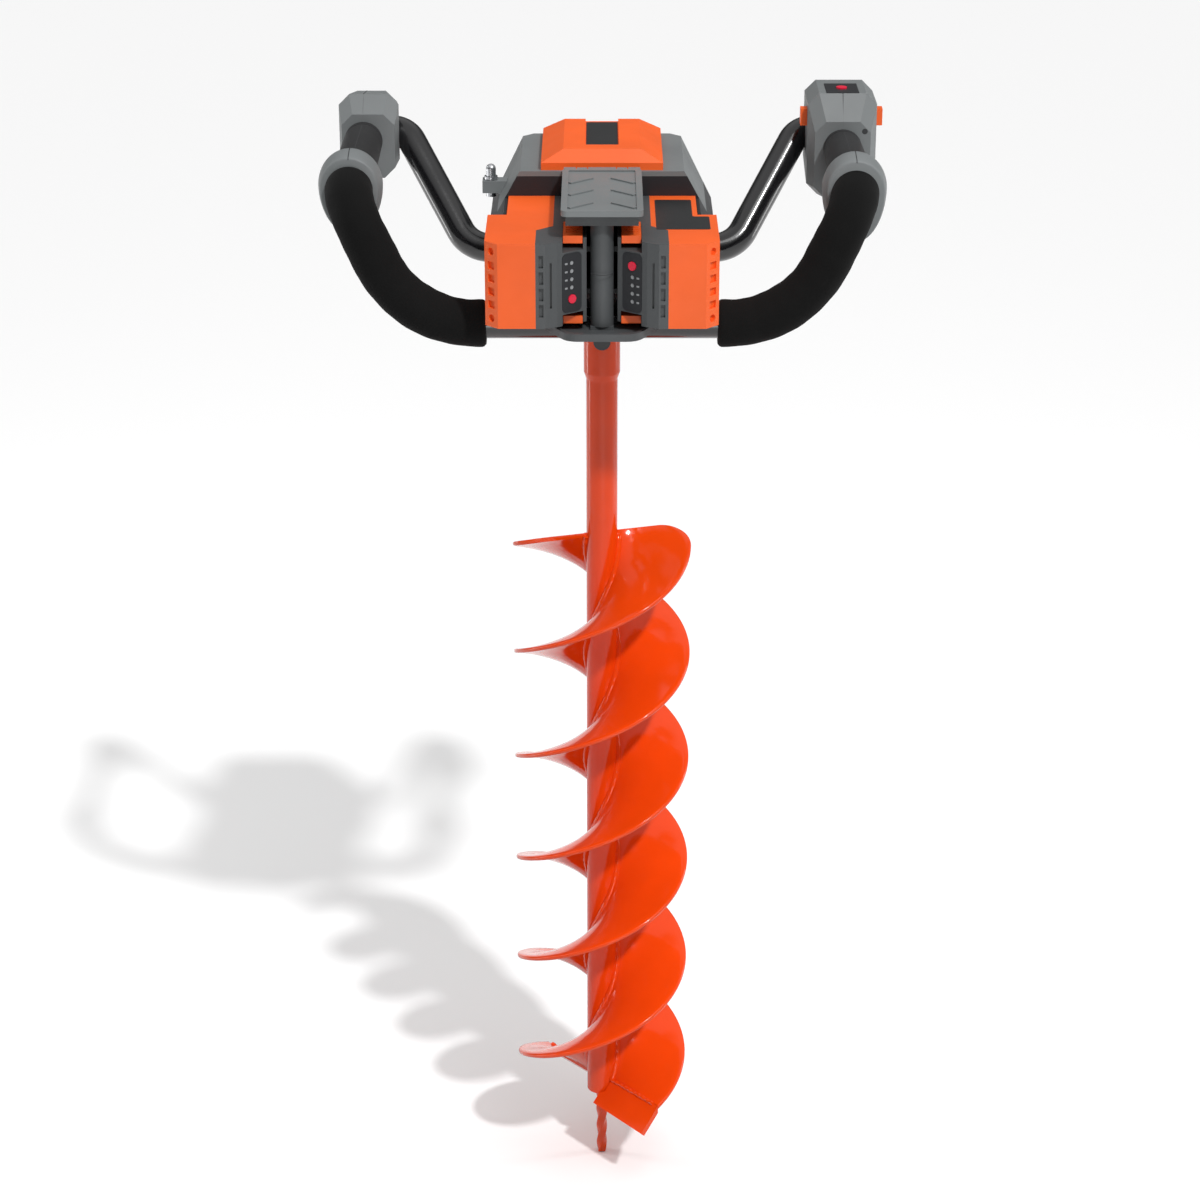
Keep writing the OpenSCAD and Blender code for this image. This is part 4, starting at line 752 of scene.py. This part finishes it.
def pale_floor():
    """White where the eye or a reflection sees it, dimmer in the light it throws back on the object."""
    mat = bpy.data.materials.new("pale floor")
    mat.use_nodes = True
    tree = mat.node_tree
    path = tree.nodes.new("ShaderNodeLightPath")
    seen = tree.nodes.new("ShaderNodeMath")
    mirrored = tree.nodes.new("ShaderNodeMath")
    tone = tree.nodes.new("ShaderNodeMix")
    seen.operation = mirrored.operation = "MAXIMUM"
    tone.data_type = "RGBA"
    tree.links.new(path.outputs["Is Glossy Ray"], mirrored.inputs[0])
    tree.links.new(path.outputs["Is Transmission Ray"], mirrored.inputs[1])
    tree.links.new(path.outputs["Is Camera Ray"], seen.inputs[0])
    tree.links.new(mirrored.outputs["Value"], seen.inputs[1])
    tree.links.new(seen.outputs["Value"], tone.inputs["Factor"])
    # Inputs 6 and 7 of a Mix node are its two colours, and output 2 is the mixed one
    tone.inputs[6].default_value = (FLOOR_THROWS, FLOOR_THROWS, FLOOR_THROWS, 1)
    tone.inputs[7].default_value = (FLOOR_SEEN, FLOOR_SEEN, FLOOR_SEEN, 1)
    bsdf = tree.nodes["Principled BSDF"]
    tree.links.new(tone.outputs[2], bsdf.inputs["Base Color"])
    bsdf.inputs["Roughness"].default_value = 0.9
    bsdf.inputs["Specular IOR Level"].default_value = 0.1
    return mat

floor_finish = pale_floor()
print("floor finish with", len(floor_finish.node_tree.nodes), "nodes")

# %% Floor
FLOOR_WIDE = 180
bpy.ops.mesh.primitive_plane_add(size=FLOOR_WIDE, location=(0, 10, 0))
floor = bpy.context.object
floor.name = "floor"
floor.data.materials.append(floor_finish)
print("floor", floor.dimensions.x, "m wide")

# %% [markdown]
# ## Lights
# A sun from the front right throws the shadow to the back left. Narrow banks at the sides draw light
# edges down the round shaft, a low one in front fills the shade under the head, and one above softens
# the upper faces. One big lamp would be simpler, but it leaves round pieces flat.

# %% Lights
def aim_at(lamp, place, target):
    lamp.location = place
    lamp.rotation_euler = (Vector(target) - Vector(place)).to_track_quat("-Z", "Y").to_euler()
    scene.collection.objects.link(lamp)

def soft_light(name, place, target, size, power):
    data = bpy.data.lights.new(name, "AREA")
    data.shape = "RECTANGLE"
    data.size, data.size_y = size
    data.energy = power
    aim_at(bpy.data.objects.new(name, data), place, target)

key = bpy.data.lights.new("key", "SUN")
key.energy = 1.8
key.angle = math.radians(3.0)
aim_at(bpy.data.objects.new("key", key), (0.72, -1.34, 2.3), (0, 0, 0.58))
soft_light("left_bank", (-1.7, 0.5, 0.9), (0, 0, 0.5), (0.35, 1.8), 9)
soft_light("right_bank", (1.7, 0.4, 1.0), (0, 0, 0.5), (0.35, 1.8), 8)
soft_light("front_bank", (0.25, -2.3, 0.45), (0, 0, 0.55), (1.0, 0.5), 7)
soft_light("top_bank", (0.5, -0.9, 2.5), (0, 0, 0.5), (1.1, 0.6), 6)
print("lights", len(bpy.data.lights))

# %% [markdown]
# ## Room
# The world is bright overhead and dim at the horizon, as under a large soft ceiling light. An even world
# would grey the sides of dark pieces. With the lamps it makes a plain level, at which a colour looks
# about as it is written.

# %% Room
world = bpy.data.worlds.new("studio")
world.use_nodes = True
tree = world.node_tree
direction = tree.nodes.new("ShaderNodeTexCoord")
height = tree.nodes.new("ShaderNodeSeparateXYZ")
ceiling = tree.nodes.new("ShaderNodeValToRGB")
ceiling.color_ramp.elements[0].position = 0.35
ceiling.color_ramp.elements[0].color = (0.10, 0.10, 0.10, 1)
ceiling.color_ramp.elements[1].position = 0.80
ceiling.color_ramp.elements[1].color = (1, 1, 1, 1)
tree.links.new(direction.outputs["Generated"], height.inputs["Vector"])
tree.links.new(height.outputs["Z"], ceiling.inputs["Fac"])
tree.links.new(ceiling.outputs["Color"], tree.nodes["Background"].inputs["Color"])
tree.nodes["Background"].inputs["Strength"].default_value = 0.78
scene.world = world
scene.view_settings.view_transform = "Standard"
print("room strength", round(tree.nodes["Background"].inputs["Strength"].default_value, 2))

# %% [markdown]
# ## Size
# The dressed part should fill the same box as the CAD part, so both boxes are kept side by side.

# %% Keep the size and finish
low, high = cad_box
